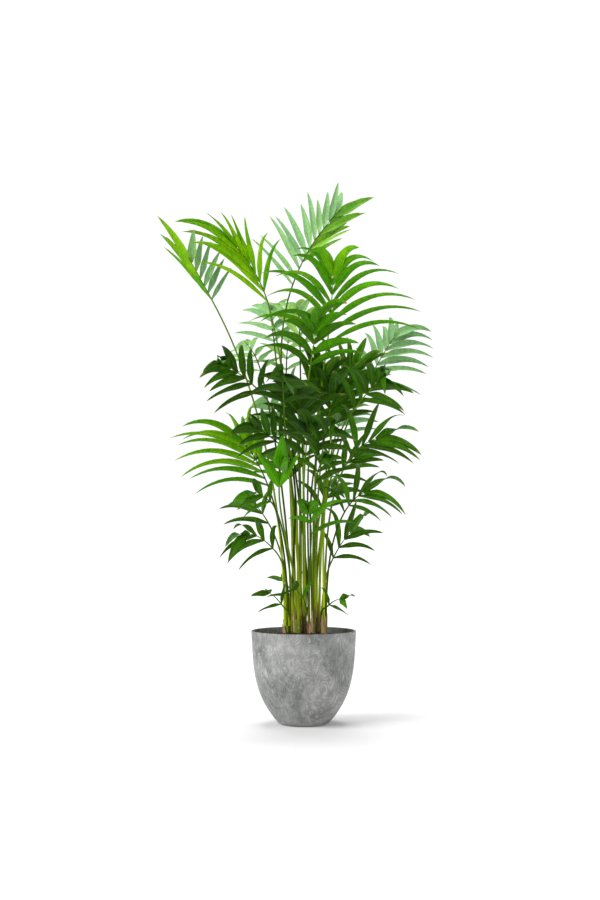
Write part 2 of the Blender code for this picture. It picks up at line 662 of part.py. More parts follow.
def grow_leaflet(builder, lower, upper, leaf):
    """A leaflet grown out of the open face between two rings of the rachis."""
    if leaf.side > 0:
        root = (lower[3], upper[3], upper[0], lower[0])
    else:
        root = (lower[2], upper[2], upper[1], lower[1])
    sections, tip = leaflet_sections(leaf, steps_of(leaf))
    rings = [list(root)]
    for section in sections:
        rings.append([builder.verts.new(corner) for corner in section])
    for near, far in zip(rings, rings[1:]):
        for edge, ridge in ((0, 1), (2, 1), (2, 3), (0, 3)):
            builder.faces.new((near[edge], near[ridge], far[ridge]))
            builder.faces.new((near[edge], far[ridge], far[edge]))
    end = builder.verts.new(tip)
    for k in range(4):
        builder.faces.new((rings[-1][k], rings[-1][(k + 1) % 4], end))


def build_frond(frond, foot, sway, leaves, shade):
    """One frond: the stalk, its rachis and the leaflets in one closed skin."""
    builder = bmesh.new()
    stalk, stalk_ways = curve_points(stalk_knots(frond, foot, sway), STALK_STEPS)
    stalk_ways[0] = UP
    length = float(np.linalg.norm(placed(frond.tip) - placed(frond.base)))
    root = min(0.5 * ROOT_WIDTH / length, 0.07, 0.3 / len(pair_shares(frond)))
    spots, grown = [], {}
    for pair, share in enumerate(pair_shares(frond)):
        spots += [share - root, share + root]
        grown[STALK_STEPS - 1 + 2 * pair] = [leaf for leaf in leaves if leaf.pair == pair]
    fine, fine_ways = curve_points(rachis_knots(frond), 101)
    at = [int(round(100 * s)) for s in spots] + [100]
    points = np.concatenate((stalk[:-1], fine[at]))
    ways = np.concatenate((stalk_ways[:-1], fine_ways[at]))
    radii = np.concatenate((
        np.linspace(STALK_RADIUS, STALK_TOP_RADIUS, STALK_STEPS)[:-1],
        np.interp(np.array(at) / 100, (0, 1), (STALK_TOP_RADIUS, RACHIS_TIP_RADIUS)),
    ))
    side, front = blade_frame(frond, fine_ways[0])
    frames = [None] * len(points)
    for i in range(STALK_STEPS - 2, -1, -1):
        side = unit(side - (side @ ways[i]) * ways[i])
        frames[i] = (side, np.cross(side, ways[i]))
    for i in range(STALK_STEPS - 1, len(points)):
        frames[i] = blade_frame(frond, ways[i])
    rings = []
    for point, (side, front), radius in zip(points, frames, radii):
        rings.append(ring_of(builder, point, side, front, radius * STALK_CORNER, 4))
    for i, (lower, upper) in enumerate(zip(rings, rings[1:])):
        here = grown.get(i, [])
        bridge(builder, lower, upper, [3 if leaf.side > 0 else 1 for leaf in here])
        for leaf in here:
            grow_leaflet(builder, lower, upper, leaf)
    builder.faces.new(rings[0])
    builder.faces.new(rings[-1])
    add_object(frond.name, builder, shade, 50)


def main():
    for old in list(bpy.data.objects):
        bpy.data.objects.remove(old, do_unlink=True)
    stone = material("planter", (0.33, 0.34, 0.335), 0.55)
    earth = material("soil", (0.055, 0.030, 0.015), 0.95)
    sheath = material("sheath", (0.26, 0.20, 0.10), 0.75)
    green = material("leaf", (0.06, 0.20, 0.015), 0.42)
    add_object("planter", planter_body(), stone, 40)
    add_object("potting_soil", soil_body(), earth, 30)
    for stem in STEMS:
        add_object(stem.name, stem_body(stem), sheath, 50)
    stalks = place_stalks()
    leaves = place_leaflets(stalks)
    for frond, (foot, sway), own in zip(FRONDS, stalks, leaves):
        build_frond(frond, foot, sway, own, green)


main()
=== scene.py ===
"""The potted kentia palm as it looks: fine leaflets, stalks, planter and soil.

The sizes and the growing rules match the CAD part, so each piece fills its node.
"""

import math
import random
from collections import namedtuple

import bpy
import numpy as np
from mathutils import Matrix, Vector, noise
from mathutils.bvhtree import BVHTree


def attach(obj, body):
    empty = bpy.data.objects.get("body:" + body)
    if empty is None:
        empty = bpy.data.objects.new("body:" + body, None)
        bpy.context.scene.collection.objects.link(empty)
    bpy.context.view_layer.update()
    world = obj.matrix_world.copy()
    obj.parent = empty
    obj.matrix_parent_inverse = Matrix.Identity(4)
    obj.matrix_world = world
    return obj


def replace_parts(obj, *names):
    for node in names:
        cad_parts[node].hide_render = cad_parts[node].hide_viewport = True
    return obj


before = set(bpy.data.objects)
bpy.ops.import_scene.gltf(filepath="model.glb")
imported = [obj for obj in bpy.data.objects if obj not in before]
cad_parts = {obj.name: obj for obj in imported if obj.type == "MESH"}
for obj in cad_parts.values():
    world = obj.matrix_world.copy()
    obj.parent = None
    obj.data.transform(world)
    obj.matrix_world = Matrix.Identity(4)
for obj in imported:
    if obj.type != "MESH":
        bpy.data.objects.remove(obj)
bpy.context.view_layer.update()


# Planter
PLANTER_HEIGHT = 0.310
RIM_RADIUS = 0.175
BASE_RADIUS = 0.080
BASE_FLARE = 0.95
RIM_FLARE = 0.05
WALL = 0.007
FLOOR = 0.012

# Soil
SOIL_BELOW_RIM = 0.020
SOIL_EDGE_DROP = 0.006
GAP = 0.0004

# Palm, measured from the top of the soil
PALM_HEIGHT = 1.53
PALM_SPREAD = 0.50
TABLE_HEIGHT = 1.53
TABLE_SPREAD = 0.50
STEM_RADIUS = 0.0125
STEM_TOP_RADIUS = 0.0125
STALK_RADIUS = 0.0034
STALK_TOP_RADIUS = 0.0026
RACHIS_TIP_RADIUS = 0.0013
STALK_STEPS = 8
STALK_CORNER = 1.2
LEAST_ANGLE = 3.0  # a leaflet never leans over its own rachis, in degrees
LEAST_RISE = 0.05
LEAFLET_WIDTH = 0.024
LEAFLET_THICKNESS = 0.0011
LEAFLET_FOLD = 0.16
BEND_POWER = 1.7

# Free space kept round every stalk and leaflet
STALK_CLEARANCE = 0.0022
LEAF_CLEARANCE = 0.0014
OWN_CLEARANCE = 0.0007

SOIL_TOP = PLANTER_HEIGHT - SOIL_BELOW_RIM
UP = np.array((0.0, 0.0, 1.0))
DEPTH = np.array((0.0, 1.0, 0.0))

# One leaf stem of the clump: where it stands and how tall its sheath is.
Stem = namedtuple("Stem", "name x y height")
STEMS = (
    Stem("stem_far_left", -0.056, -0.012, 0.036),
    Stem("stem_left_back", -0.040, 0.032, 0.048),
    Stem("stem_left_front", -0.022, -0.036, 0.060),
    Stem("stem_middle", -0.004, 0.002, 0.066),
    Stem("stem_back", 0.012, 0.044, 0.044),
    Stem("stem_right_front", 0.026, -0.032, 0.042),
    Stem("stem_right", 0.044, 0.010, 0.062),
    Stem("stem_far_right", 0.066, -0.022, 0.046),
    Stem("stem_back_left", -0.016, 0.070, 0.050),
    Stem("stem_back_right", 0.046, 0.064, 0.048),
)

# One side of a blade: how many leaflets, the reach of the lowest and the topmost,
# and their angles from the rachis in degrees. "left" and "right" are the sides
# met on walking up the rachis and looking from the front.
Side = namedtuple("Side", "count reach_low reach_top angle_low angle_top")

# A frond: its stem, where the blade begins, its middle and its tip, which face
# it turns to the front (+1 upper, -1 under), droop, and width as a share.
Frond = namedtuple("Frond", "name stem base mid tip face droop width left right")

FRONDS = (
    Frond("frond_front_high", 5, (0.075, -0.060, 0.950), (0.090, -0.130, 1.085),
      (0.094, -0.200, 1.200), 1, 1.25, 1.0,
      Side(8, 0.33, 0.20, 46, 13), Side(8, 0.36, 0.21, 46, 16)),
    Frond("frond_front_centre", 3, (0.020, -0.150, 0.880), (0.033, -0.195, 0.960),
      (0.045, -0.245, 1.025), 1, 1.1, 1.45,
      Side(5, 0.21, 0.14, 48, 10), Side(5, 0.19, 0.14, 46, 14)),
    Frond("frond_crown_back", 3, (-0.045, 0.000, 1.155), (0.026, 0.090, 1.325),
      (0.132, 0.205, 1.475), -1, 0.20, 1.1,
      Side(11, 0.26, 0.20, 42, 17), Side(8, 0.20, 0.22, 22, 7)),
    Frond("frond_far_left", 0, (-0.305, 0.000, 1.120), (-0.341, -0.025, 1.185),
      (-0.384, -0.055, 1.262), -1, 0.22, 0.9,
      Side(6, 0.19, 0.18, 10, 3), Side(6, 0.13, 0.11, 58, 32)),
    Frond("frond_left_high", 1, (-0.118, 0.020, 1.110), (-0.166, 0.020, 1.225),
      (-0.244, 0.000, 1.325), 1, 0.75, 1.0,
      Side(7, 0.27, 0.23, 26, 8), Side(6, 0.18, 0.17, 28, 7)),
    Frond("frond_mid_left", 2, (-0.135, -0.100, 0.800), (-0.205, -0.165, 0.860),
      (-0.270, -0.230, 0.890), 1, 0.8, 1.15,
      Side(6, 0.18, 0.13, 48, 12), Side(6, 0.18, 0.13, 42, 12)),
    Frond("frond_core_left", 2, (-0.065, -0.150, 0.760), (-0.067, -0.230, 0.820),
      (-0.070, -0.310, 0.855), 1, 0.9, 1.8,
      Side(4, 0.17, 0.14, 50, 12), Side(4, 0.17, 0.14, 50, 12)),
    Frond("frond_right_mid", 7, (0.160, -0.090, 0.745), (0.215, -0.150, 0.810),
      (0.260, -0.220, 0.850), 1, 0.9, 1.3,
      Side(6, 0.19, 0.14, 50, 12), Side(5, 0.18, 0.14, 46, 12)),
    Frond("frond_core_low", 5, (0.050, -0.170, 0.615), (0.072, -0.225, 0.665),
      (0.095, -0.280, 0.700), 1, 0.7, 1.7,
      Side(3, 0.16, 0.12, 45, 14), Side(3, 0.15, 0.12, 50, 14)),
    Frond("frond_left_young", 2, (-0.080, -0.180, 0.490), (-0.078, -0.192, 0.528),
      (-0.072, -0.208, 0.558), 1, 0.35, 1.75,
      Side(2, 0.15, 0.14, 25, 9), Side(2, 0.15, 0.16, 20, 7)),
    Frond("frond_right_low", 7, (0.155, -0.020, 0.595), (0.195, -0.050, 0.635),
      (0.250, -0.085, 0.660), 1, 0.8, 0.95,
      Side(5, 0.20, 0.20, 50, 12), Side(4, 0.17, 0.20, 42, 10)),
    Frond("frond_left_arch", 0, (-0.115, 0.000, 0.490), (-0.155, -0.020, 0.580),
      (-0.205, -0.045, 0.655), 1, 1.15, 0.9,
      Side(8, 0.27, 0.27, 46, 12), Side(5, 0.18, 0.18, 30, 10)),
    Frond("frond_left_grey", 2, (-0.060, -0.060, 0.620), (-0.115, -0.110, 0.665),
      (-0.165, -0.160, 0.695), 1, 0.6, 1.05,
      Side(5, 0.15, 0.13, 44, 12), Side(5, 0.16, 0.13, 40, 12)),
    Frond("frond_right_high", 6, (0.185, 0.050, 0.795), (0.263, 0.140, 0.938),
      (0.325, 0.220, 1.040), -1, 0.75, 1.15,
      Side(8, 0.15, 0.15, 40, 14), Side(7, 0.24, 0.20, 44, 12)),
    Frond("frond_upper_mid", 8, (-0.100, 0.100, 0.985), (-0.112, 0.170, 1.080),
      (-0.125, 0.250, 1.150), -1, 0.5, 1.25,
      Side(5, 0.19, 0.14, 42, 12), Side(5, 0.17, 0.15, 36, 10)),
    Frond("frond_back_centre", 4, (-0.060, 0.140, 0.890), (-0.057, 0.230, 0.985),
      (-0.050, 0.330, 1.050), -1, 0.4, 1.05,
      Side(5, 0.16, 0.12, 42, 12), Side(5, 0.16, 0.12, 42, 12)),
    Frond("frond_back_left", 1, (-0.145, 0.120, 0.890), (-0.170, 0.200, 0.960),
      (-0.205, 0.290, 1.015), -1, 0.5, 1.0,
      Side(5, 0.18, 0.13, 46, 12), Side(5, 0.15, 0.12, 40, 12)),
    Frond("frond_back_right", 9, (0.050, 0.120, 0.765), (0.065, 0.210, 0.850),
      (0.090, 0.310, 0.910), -1, 0.4, 1.1,
      Side(5, 0.18, 0.14, 44, 12), Side(5, 0.18, 0.13, 44, 12)),
    Frond("frond_fill_front", 3, (-0.015, -0.045, 0.655), (-0.015, -0.090, 0.740),
      (-0.020, -0.150, 0.800), 1, 0.7, 1.5,
      Side(5, 0.19, 0.15, 46, 12), Side(5, 0.19, 0.15, 46, 12)),
    Frond("frond_fill_right", 9, (0.105, 0.085, 0.660), (0.132, 0.150, 0.745),
      (0.162, 0.225, 0.810), -1, 0.55, 1.3,
      Side(4, 0.19, 0.15, 42, 12), Side(5, 0.19, 0.14, 46, 14)),
    Frond("frond_fill_left", 1, (-0.060, 0.100, 0.660), (-0.090, 0.180, 0.745),
      (-0.130, 0.270, 0.805), -1, 0.5, 1.35,
      Side(5, 0.19, 0.14, 44, 12), Side(5, 0.19, 0.14, 44, 12)),
    Frond("frond_fill_centre", 4, (0.030, 0.040, 0.710), (0.045, 0.020, 0.800),
      (0.060, 0.000, 0.875), 1, 0.6, 1.35,
      Side(5, 0.18, 0.14, 44, 12), Side(5, 0.19, 0.14, 44, 12)),
    Frond("frond_core_front", 3, (0.005, -0.100, 0.590), (0.010, -0.145, 0.650),
      (0.015, -0.200, 0.695), 1, 0.7, 1.5,
      Side(4, 0.17, 0.13, 48, 12), Side(4, 0.17, 0.13, 48, 12)),
    Frond("frond_core_right", 6, (0.075, -0.010, 0.690), (0.090, -0.040, 0.760),
      (0.105, -0.080, 0.815), 1, 0.7, 1.4,
      Side(4, 0.17, 0.13, 46, 12), Side(5, 0.18, 0.14, 46, 12)),
    Frond("frond_core_back", 8, (-0.026, 0.070, 0.700), (-0.035, 0.110, 0.770),
      (-0.045, 0.160, 0.820), -1, 0.6, 1.4,
      Side(4, 0.17, 0.13, 46, 12), Side(4, 0.17, 0.13, 46, 12)),
    Frond("frond_mid_right", 6, (0.120, 0.020, 0.780), (0.145, 0.040, 0.850),
      (0.175, 0.060, 0.905), 1, 0.7, 1.2,
      Side(5, 0.17, 0.13, 44, 12), Side(5, 0.17, 0.13, 46, 12)),
    Frond("frond_upper_back", 4, (-0.012, 0.050, 0.960), (-0.015, 0.090, 1.050),
      (-0.022, 0.140, 1.120), -1, 0.4, 1.0,
      Side(5, 0.18, 0.14, 38, 10), Side(5, 0.18, 0.14, 38, 10)),
    Frond("frond_low_front", 5, (0.040, -0.080, 0.505), (0.050, -0.115, 0.560),
      (0.065, -0.155, 0.595), 1, 0.7, 1.2,
      Side(3, 0.13, 0.11, 46, 12), Side(4, 0.14, 0.11, 46, 12)),
    Frond("frond_low_back", 8, (-0.046, 0.080, 0.520), (-0.065, 0.140, 0.575),
      (-0.085, 0.210, 0.610), 1, 0.7, 1.2,
      Side(4, 0.15, 0.12, 46, 12), Side(4, 0.15, 0.12, 46, 12)),
    Frond("frond_low_back_right", 9, (0.060, 0.120, 0.420), (0.080, 0.180, 0.475),
      (0.100, 0.250, 0.505), 1, 0.8, 1.1,
      Side(4, 0.15, 0.12, 46, 12), Side(4, 0.15, 0.12, 46, 12)),
    Frond("frond_right_inner", 9, (0.105, 0.040, 0.530), (0.145, 0.060, 0.575),
      (0.180, 0.080, 0.600), 1, 0.6, 0.95,
      Side(4, 0.12, 0.10, 55, 14), Side(4, 0.12, 0.11, 50, 14)),
    Frond("frond_right_outer", 7, (0.130, -0.060, 0.405), (0.165, -0.085, 0.455),
      (0.205, -0.115, 0.480), 1, 1.25, 0.85,
      Side(5, 0.18, 0.24, 48, 10), Side(4, 0.13, 0.20, 52, 14)),
    Frond("frond_right_base", 7, (0.095, 0.040, 0.250), (0.130, 0.065, 0.310),
      (0.165, 0.095, 0.350), 1, 1.05, 0.9,
      Side(4, 0.14, 0.13, 46, 12), Side(4, 0.13, 0.12, 52, 16)),
    Frond("frond_low_left_a", 2, (-0.105, -0.100, 0.445), (-0.135, -0.130, 0.465),
      (-0.165, -0.155, 0.475), 1, 0.7, 1.1,
      Side(3, 0.12, 0.11, 40, 12), Side(3, 0.12, 0.12, 36, 10)),
    Frond("frond_low_left_b", 1, (-0.115, 0.030, 0.370), (-0.140, 0.050, 0.410),
      (-0.162, 0.078, 0.435), 1, 1.1, 1.0,
      Side(3, 0.15, 0.13, 46, 14), Side(2, 0.12, 0.12, 38, 12)),
    Frond("frond_low_left_c", 0, (-0.095, -0.030, 0.285), (-0.145, -0.055, 0.330),
      (-0.185, -0.080, 0.340), 1, 1.4, 0.9,
      Side(4, 0.15, 0.15, 50, 16), Side(4, 0.12, 0.13, 40, 12)),
    Frond("frond_centre_small", 5, (0.025, -0.100, 0.335), (0.022, -0.120, 0.380),
      (0.015, -0.140, 0.415), 1, 0.8, 1.2,
      Side(2, 0.10, 0.09, 42, 12), Side(3, 0.17, 0.12, 55, 20)),
    Frond("frond_base_left", 0, (-0.070, -0.050, 0.105), (-0.095, -0.070, 0.135),
      (-0.115, -0.090, 0.150), 1, 0.45, 0.9,
      Side(2, 0.10, 0.10, 50, 16), Side(2, 0.09, 0.09, 40, 14)),
    Frond("frond_base_back", 4, (-0.030, 0.100, 0.125), (-0.050, 0.140, 0.155),
      (-0.070, 0.190, 0.180), 1, 0.5, 0.9,
      Side(2, 0.10, 0.09, 50, 16), Side(2, 0.10, 0.09, 40, 16)),
    Frond("frond_base_centre", 5, (0.000, -0.095, 0.130), (-0.015, -0.115, 0.150),
      (-0.025, -0.135, 0.165), 1, 0.5, 1.1,
      Side(1, 0.09, 0.07, 40, 20), Side(2, 0.10, 0.09, 40, 14)),
    Frond("frond_base_right", 7, (0.080, -0.060, 0.105), (0.100, -0.080, 0.122),
      (0.122, -0.100, 0.130), 1, 0.6, 1.0,
      Side(2, 0.09, 0.09, 45, 14), Side(2, 0.09, 0.08, 50, 18)),
)


def unit(vector):
    """The vector at length one."""
    return vector / math.sqrt(float(vector @ vector))


def placed(point):
    """A point of the table, scaled to this palm's size and set on the soil."""
    spread = PALM_SPREAD / TABLE_SPREAD
    rise = PALM_HEIGHT / TABLE_HEIGHT
    return np.array((point[0] * spread, point[1] * spread, SOIL_TOP + point[2] * rise))


def curve_points(knots, count):
    """Points and directions along a cubic through four control points."""
    a, b, c, d = knots
    t = np.linspace(0.0, 1.0, count)[:, None]
    s = 1.0 - t
    points = s**3 * a + 3 * s * s * t * b + 3 * s * t * t * c + t**3 * d
    ways = s * s * (b - a) + 2 * s * t * (c - b) + t * t * (d - c)
    return points, ways / np.linalg.norm(ways, axis=1)[:, None]


def heading(frond):
    """The compass angle from a frond's stem towards the foot of its blade."""
    stem = STEMS[frond.stem]
    return math.atan2(frond.base[1] - stem.y, frond.base[0] - stem.x)


def stalk_foot(frond):
    """Where a stalk leaves the top of its stem: a ring of places, in order of heading."""
    stem = STEMS[frond.stem]
    mates = sorted((f for f in FRONDS if f.stem == frond.stem), key=heading)
    ring = STEM_TOP_RADIUS - STALK_RADIUS * STALK_CORNER
    step = 2 * math.pi / len(mates)
    lag = sum(heading(f) - step * i for i, f in enumerate(mates)) / len(mates)
    turn = lag + step * mates.index(frond)
    x, y = stem.x + ring * math.cos(turn), stem.y + ring * math.sin(turn)
    return np.array((x, y, SOIL_TOP + GAP + stem.height + GAP))


def stalk_knots(frond, foot, sway):
    """Control points of the stalk, leaving upright and arriving along the rachis."""
    base, mid, tip = placed(frond.base), placed(frond.mid), placed(frond.tip)
    arrive = unit(4 * mid - 3 * base - tip)
    rise = float(np.linalg.norm(base - foot))
    first = foot + UP * max(rise * 0.36, LEAST_RISE) + np.array((sway[0], sway[1], 0.0)) * 0.6
    second = base - arrive * rise * 0.30 + np.array((sway[0], sway[1], 0.0))
    return foot, first, second, base


def rachis_knots(frond):
    """Control points of the rachis through its middle, as a cubic."""
    base, mid, tip = placed(frond.base), placed(frond.mid), placed(frond.tip)
    bend = 2 * mid - 0.5 * (base + tip)
    return base, base + (bend - base) * 2 / 3, tip + (bend - tip) * 2 / 3, tip


def filled_in(points, per_side):
    """A polyline with more points along each of its straight sides."""
    at = np.linspace(0, len(points) - 1, (len(points) - 1) * per_side + 1)
    spots = np.arange(len(points))
    return np.stack([np.interp(at, spots, points[:, k]) for k in range(3)], axis=1)


def stalk_line(frond, foot, sway):
    """Dense points down the stalk and rachis, with the radius at each."""
    stalk, _ = curve_points(stalk_knots(frond, foot, sway), STALK_STEPS)
    rachis, _ = curve_points(rachis_knots(frond), 8)
    stalk, rachis = filled_in(stalk, 12), filled_in(rachis, 4)
    radii = np.concatenate((
        np.linspace(STALK_RADIUS, STALK_TOP_RADIUS, len(stalk)),
        np.linspace(STALK_TOP_RADIUS, RACHIS_TIP_RADIUS, len(rachis)),
    ))
    return np.concatenate((stalk, rachis)), radii * STALK_CORNER


def sway_choices():
    """Sideways shifts to try, the smallest first, mostly in depth."""
    steps = [(0.0, 0.0)]
    for size in range(1, 24):
        for dx, dy in ((0, 1), (0, -1), (0.5, 0.8), (-0.5, 0.8), (0.5, -0.8), (-0.5, -0.8)):
            steps.append((0.006 * size * dx, 0.008 * size * dy))
    return steps


def line_room(line, radii, others, allowed):
    """The least free space between one line and the ones already placed."""
    least = 1.0
    for other, other_radii in others:
        apart = np.linalg.norm(line[:, None, :] - other[None, :, :], axis=2)
        room = apart - radii[:, None] - other_radii[None, :] - allowed[:, None]
        least = min(least, float(room.min()))
    return least


def place_stalks():
    """A foot and a sway for each frond, so that no two stalks come near."""
    lines, result = [], []
    for frond in FRONDS:
        foot = stalk_foot(frond)
        best = None
        for sway in sway_choices():
            line, radii = stalk_line(frond, foot, sway)
            near_foot = np.linalg.norm(line - foot, axis=1) < 0.09
            allowed = np.where(near_foot, 0.0003, STALK_CLEARANCE)
            room = line_room(line, radii, lines, allowed)
            if best is None or room > best[0]:
                best = (room, sway, line, radii)
            if room > 0:
                break
        lines.append((best[2], best[3]))
        result.append((foot, best[1]))
    return result


def blade_frame(frond, along):
    """The blade's sideways direction and the direction that faces the front."""
    side = unit(np.cross(DEPTH, along))
    return side, np.cross(side, along)


Leaflet = namedtuple("Leaflet", "frond pair side share reach angle droop width roll lift")


def pair_shares(frond):
    """Where along the rachis each pair of leaflets sits."""
    pairs = max(frond.left.count, frond.right.count)
    if pairs == 1:
        return [0.82]
    return [0.07 + 0.83 * i / (pairs - 1) for i in range(pairs)]


def leaflets_of(frond, chance):
    """Every leaflet of a frond, as first intended."""
    shares = pair_shares(frond)
    made = []
    for pair, share in enumerate(shares):
        for side, spec in ((-1, frond.left), (1, frond.right)):
            if pair < len(shares) - spec.count:
                continue
            low = len(shares) - spec.count
            t = (pair - low) / max(spec.count - 1, 1)
            reach = spec.reach_low + (spec.reach_top - spec.reach_low) * t
            reach *= (1 + 0.12 * math.sin(math.pi * t)) * chance.uniform(0.92, 1.06)
            angle = spec.angle_low + (spec.angle_top - spec.angle_low) * t
            angle += chance.uniform(-4, 4)
            end = pair == len(shares) - 1
            width = LEAFLET_WIDTH * frond.width * (1.35 if end else 1.0)
            width *= chance.uniform(0.85, 1.12) * (0.8 + 0.2 * min(1, t * 3))
            roll = 16 + chance.uniform(-8, 8)
            lift = 12 + chance.uniform(-7, 7)
            droop = frond.droop * chance.uniform(0.75, 1.25)
            made.append(Leaflet(frond, pair, side, share, reach, angle, droop, width, roll, lift))
    return made


def leaflet_line(leaf, steps):
    """Centres, width directions and face directions from the root to the tip."""
    frond = leaf.frond
    line, ways = curve_points(rachis_knots(frond), 101)
    at = int(round(leaf.share * 100))
    along = ways[at]
    side, front = blade_frame(frond, along)
    turn, lift = math.radians(max(leaf.angle, LEAST_ANGLE)), math.radians(leaf.lift)
    way = math.cos(turn) * along + math.sin(turn) * leaf.side * side
    way = unit(math.cos(lift) * way + math.sin(lift) * front * frond.face)
    fine = 24
    t = (np.arange(fine) + 0.5) / fine
    fall = unit(-UP + 0.35 * leaf.side * side)
    ways = way + (leaf.droop * t**BEND_POWER)[:, None] * fall
    ways /= np.linalg.norm(ways, axis=1)[:, None]
    start = line[at] + way * STALK_TOP_RADIUS * 0.4
    points = np.concatenate((start[None], start + np.cumsum(ways, axis=0) * leaf.reach / fine))
    pick = np.linspace(0, fine, steps + 1).round().astype(int)
    points = points[pick]
    ways = ways[np.clip(pick - 1, 0, fine - 1)]
    roll = math.radians(leaf.roll) * frond.face
    wides = along - (ways @ along)[:, None] * ways
    wides /= np.linalg.norm(wides, axis=1)[:, None]
    faces = np.cross(wides, ways) * -leaf.side
    faces *= np.sign(faces @ front)[0]
    turned = math.cos(roll) * wides + math.sin(roll) * faces
    return points, turned, math.cos(roll) * faces - math.sin(roll) * wides


def width_share(t):
    """The leaflet's width along its length, as a share of its widest."""
    return min(1.0, 0.30 + 2.6 * t) * min(1.0, 1.28 * (1 - t) ** 0.62)


def leaflet_sections(leaf, steps, grow=0.0):
    """The four corners of each section, then the tip point."""
    points, wides, faces = leaflet_line(leaf, steps)
    sections = []
    for i in range(1, steps):
        t = i / steps
        half = 0.5 * leaf.width * width_share(t) + grow
        ridge = faces[i] * leaf.frond.face * half * LEAFLET_FOLD * 2
        thick = faces[i] * (LEAFLET_THICKNESS / 2 + grow)
        centre = points[i] - ridge / 2
        sections.append((
            centre - wides[i] * half,
            centre + ridge - thick,
            centre + wides[i] * half,
            centre + ridge + thick,
        ))
    return sections, points[-1] + (points[-1] - points[-2]) * grow * 4


def steps_of(leaf):
    """Sections along a leaflet: more on a long arching one."""
    return 4 if leaf.reach * leaf.droop > 0.062 else 3


def hull_tree(leaf, grow, skip):
    """A search tree round a leaflet grown by some clearance, past its root."""
    sections, tip = leaflet_sections(leaf, steps_of(leaf), grow)
    points, wides, faces = leaflet_line(leaf, 12)
    start = points[skip]
    half = leaf.width * 0.25 + grow
    first = (
        start - wides[skip] * half,
        start - faces[skip] * grow * 1.5,
        start + wides[skip] * half,
        start + faces[skip] * grow * 1.5,
    )
    corners = [c for section in (first, *sections) for c in section] + [tip]
    rings = len(sections) + 1
    polygons = [(3, 2, 1, 0)]
    for ring in range(rings - 1):
        for k in range(4):
            n = (k + 1) % 4
            polygons.append((4 * ring + k, 4 * ring + n, 4 * ring + 4 + n, 4 * ring + 4 + k))
    for k in range(4):
        polygons.append((4 * rings - 4 + k, 4 * rings - 4 + (k + 1) % 4, 4 * rings))
    tree = BVHTree.FromPolygons([tuple(c) for c in corners], polygons)
    corners = np.array(corners)
    return tree, corners.min(axis=0), corners.max(axis=0)


def tube_tree(line, radii, grow):
    """A search tree round a stalk and its rachis."""
    corners, polygons = [], []
    rings = list(range(0, len(line), 4)) + [len(line) - 1]
    for ring, i in enumerate(rings):
        way = line[min(i + 1, len(line) - 1)] - line[max(i - 1, 0)]
        side = unit(np.cross(way, DEPTH))
        other = unit(np.cross(way, side))
        r = radii[i] + grow
        corners += [line[i] + r * side, line[i] + r * other]
        corners += [line[i] - r * side, line[i] - r * other]
        if ring:
            for k in range(4):
                n, b = (k + 1) % 4, 4 * ring - 4
                polygons.append((b + k, b + n, b + 4 + n, b + 4 + k))
    tree = BVHTree.FromPolygons([tuple(c) for c in corners], polygons)
    corners = np.array(corners)
    return tree, corners.min(axis=0), corners.max(axis=0)


def tries():
    """Changes to try on a leaflet, the mildest first: tilt, turn and length."""
    found = []
    for short in (1.0, 0.85, 0.7, 0.55, 0.42, 0.3):
        for tilt in range(-8, 9):
            for turn in range(-3, 4):
                cost = abs(tilt) + 1.6 * abs(turn) + 22 * (1 - short)
                found.append((cost, tilt * 6.0, turn * 5.0, short))
    return sorted(found)


def changed(leaf, tilt, turn, short):
    """The leaflet tilted out of its blade, turned within it and shortened."""
    return leaf._replace(
        lift=leaf.lift + tilt, angle=leaf.angle + turn, reach=leaf.reach * short
    )


def outer_profile(steps):
    """Heights and radii of the planter's outside, a cubic from the base to the rim."""
    base = np.array((BASE_RADIUS, 0.0))
    rim = np.array((RIM_RADIUS, PLANTER_HEIGHT))
    low = base + np.array((BASE_FLARE, 1.0)) * 0.30 * PLANTER_HEIGHT
    high = rim - np.array((RIM_FLARE, 1.0)) * 0.42 * PLANTER_HEIGHT
    t = np.linspace(0.0, 1.0, steps)[:, None]
    s = 1.0 - t
    return s**3 * base + 3 * s * s * t * low + 3 * s * t * t * high + t**3 * rim


def inner_radius(height):
    """The planter's inside radius at a height above its base."""
    profile = outer_profile(60)
    return float(np.interp(height, profile[:, 1], profile[:, 0])) - WALL


def node_tree(name):
    """A search tree round a solid of the part that leaflets keep clear of."""
    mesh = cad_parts[name].data
    corners = np.array([v.co for v in mesh.vertices], float)
    tree = BVHTree.FromPolygons(corners.tolist(), [tuple(p.vertices) for p in mesh.polygons])
    return tree, corners.min(axis=0), corners.max(axis=0)


def hits(hull, others):
    """Whether this hull crosses any of the others."""
    tree, low, high = hull
    for other, other_low, other_high in others:
        if (low < other_high).all() and (high > other_low).all() and tree.overlap(other):
            return True
    return False


def place_leaflets(stalks):
    """All leaflets, moved by as little as keeps each clear of everything else."""
    chance = random.Random(11)
    tubes = []
    for frond, (foot, sway) in zip(FRONDS, stalks):
        line, radii = stalk_line(frond, foot, sway)
        tubes.append(tube_tree(line, radii, LEAF_CLEARANCE))
    choices = tries()
    solids = ["planter", "potting_soil"] + [stem.name for stem in STEMS]
    placed_hulls = [node_tree(name) for name in solids]
    result = []
    for index, frond in enumerate(FRONDS):
        other_tubes = tubes[:index] + tubes[index + 1:]
        own, found = [], []
        for leaf in leaflets_of(frond, chance):
            for _, tilt, turn, share in choices:
                trial = changed(leaf, tilt, turn, share)
                hull = hull_tree(trial, LEAF_CLEARANCE, 0)
                if hits(hull, other_tubes) or hits(hull, placed_hulls):
                    continue
                if hits(hull_tree(trial, OWN_CLEARANCE, 3), own):
                    continue
                break
            else:
                continue
            found.append(trial)
            own.append(hull_tree(trial, OWN_CLEARANCE, 3))
        placed_hulls += [hull_tree(leaf, LEAF_CLEARANCE, 0) for leaf in found]
        result.append(found)
    return result


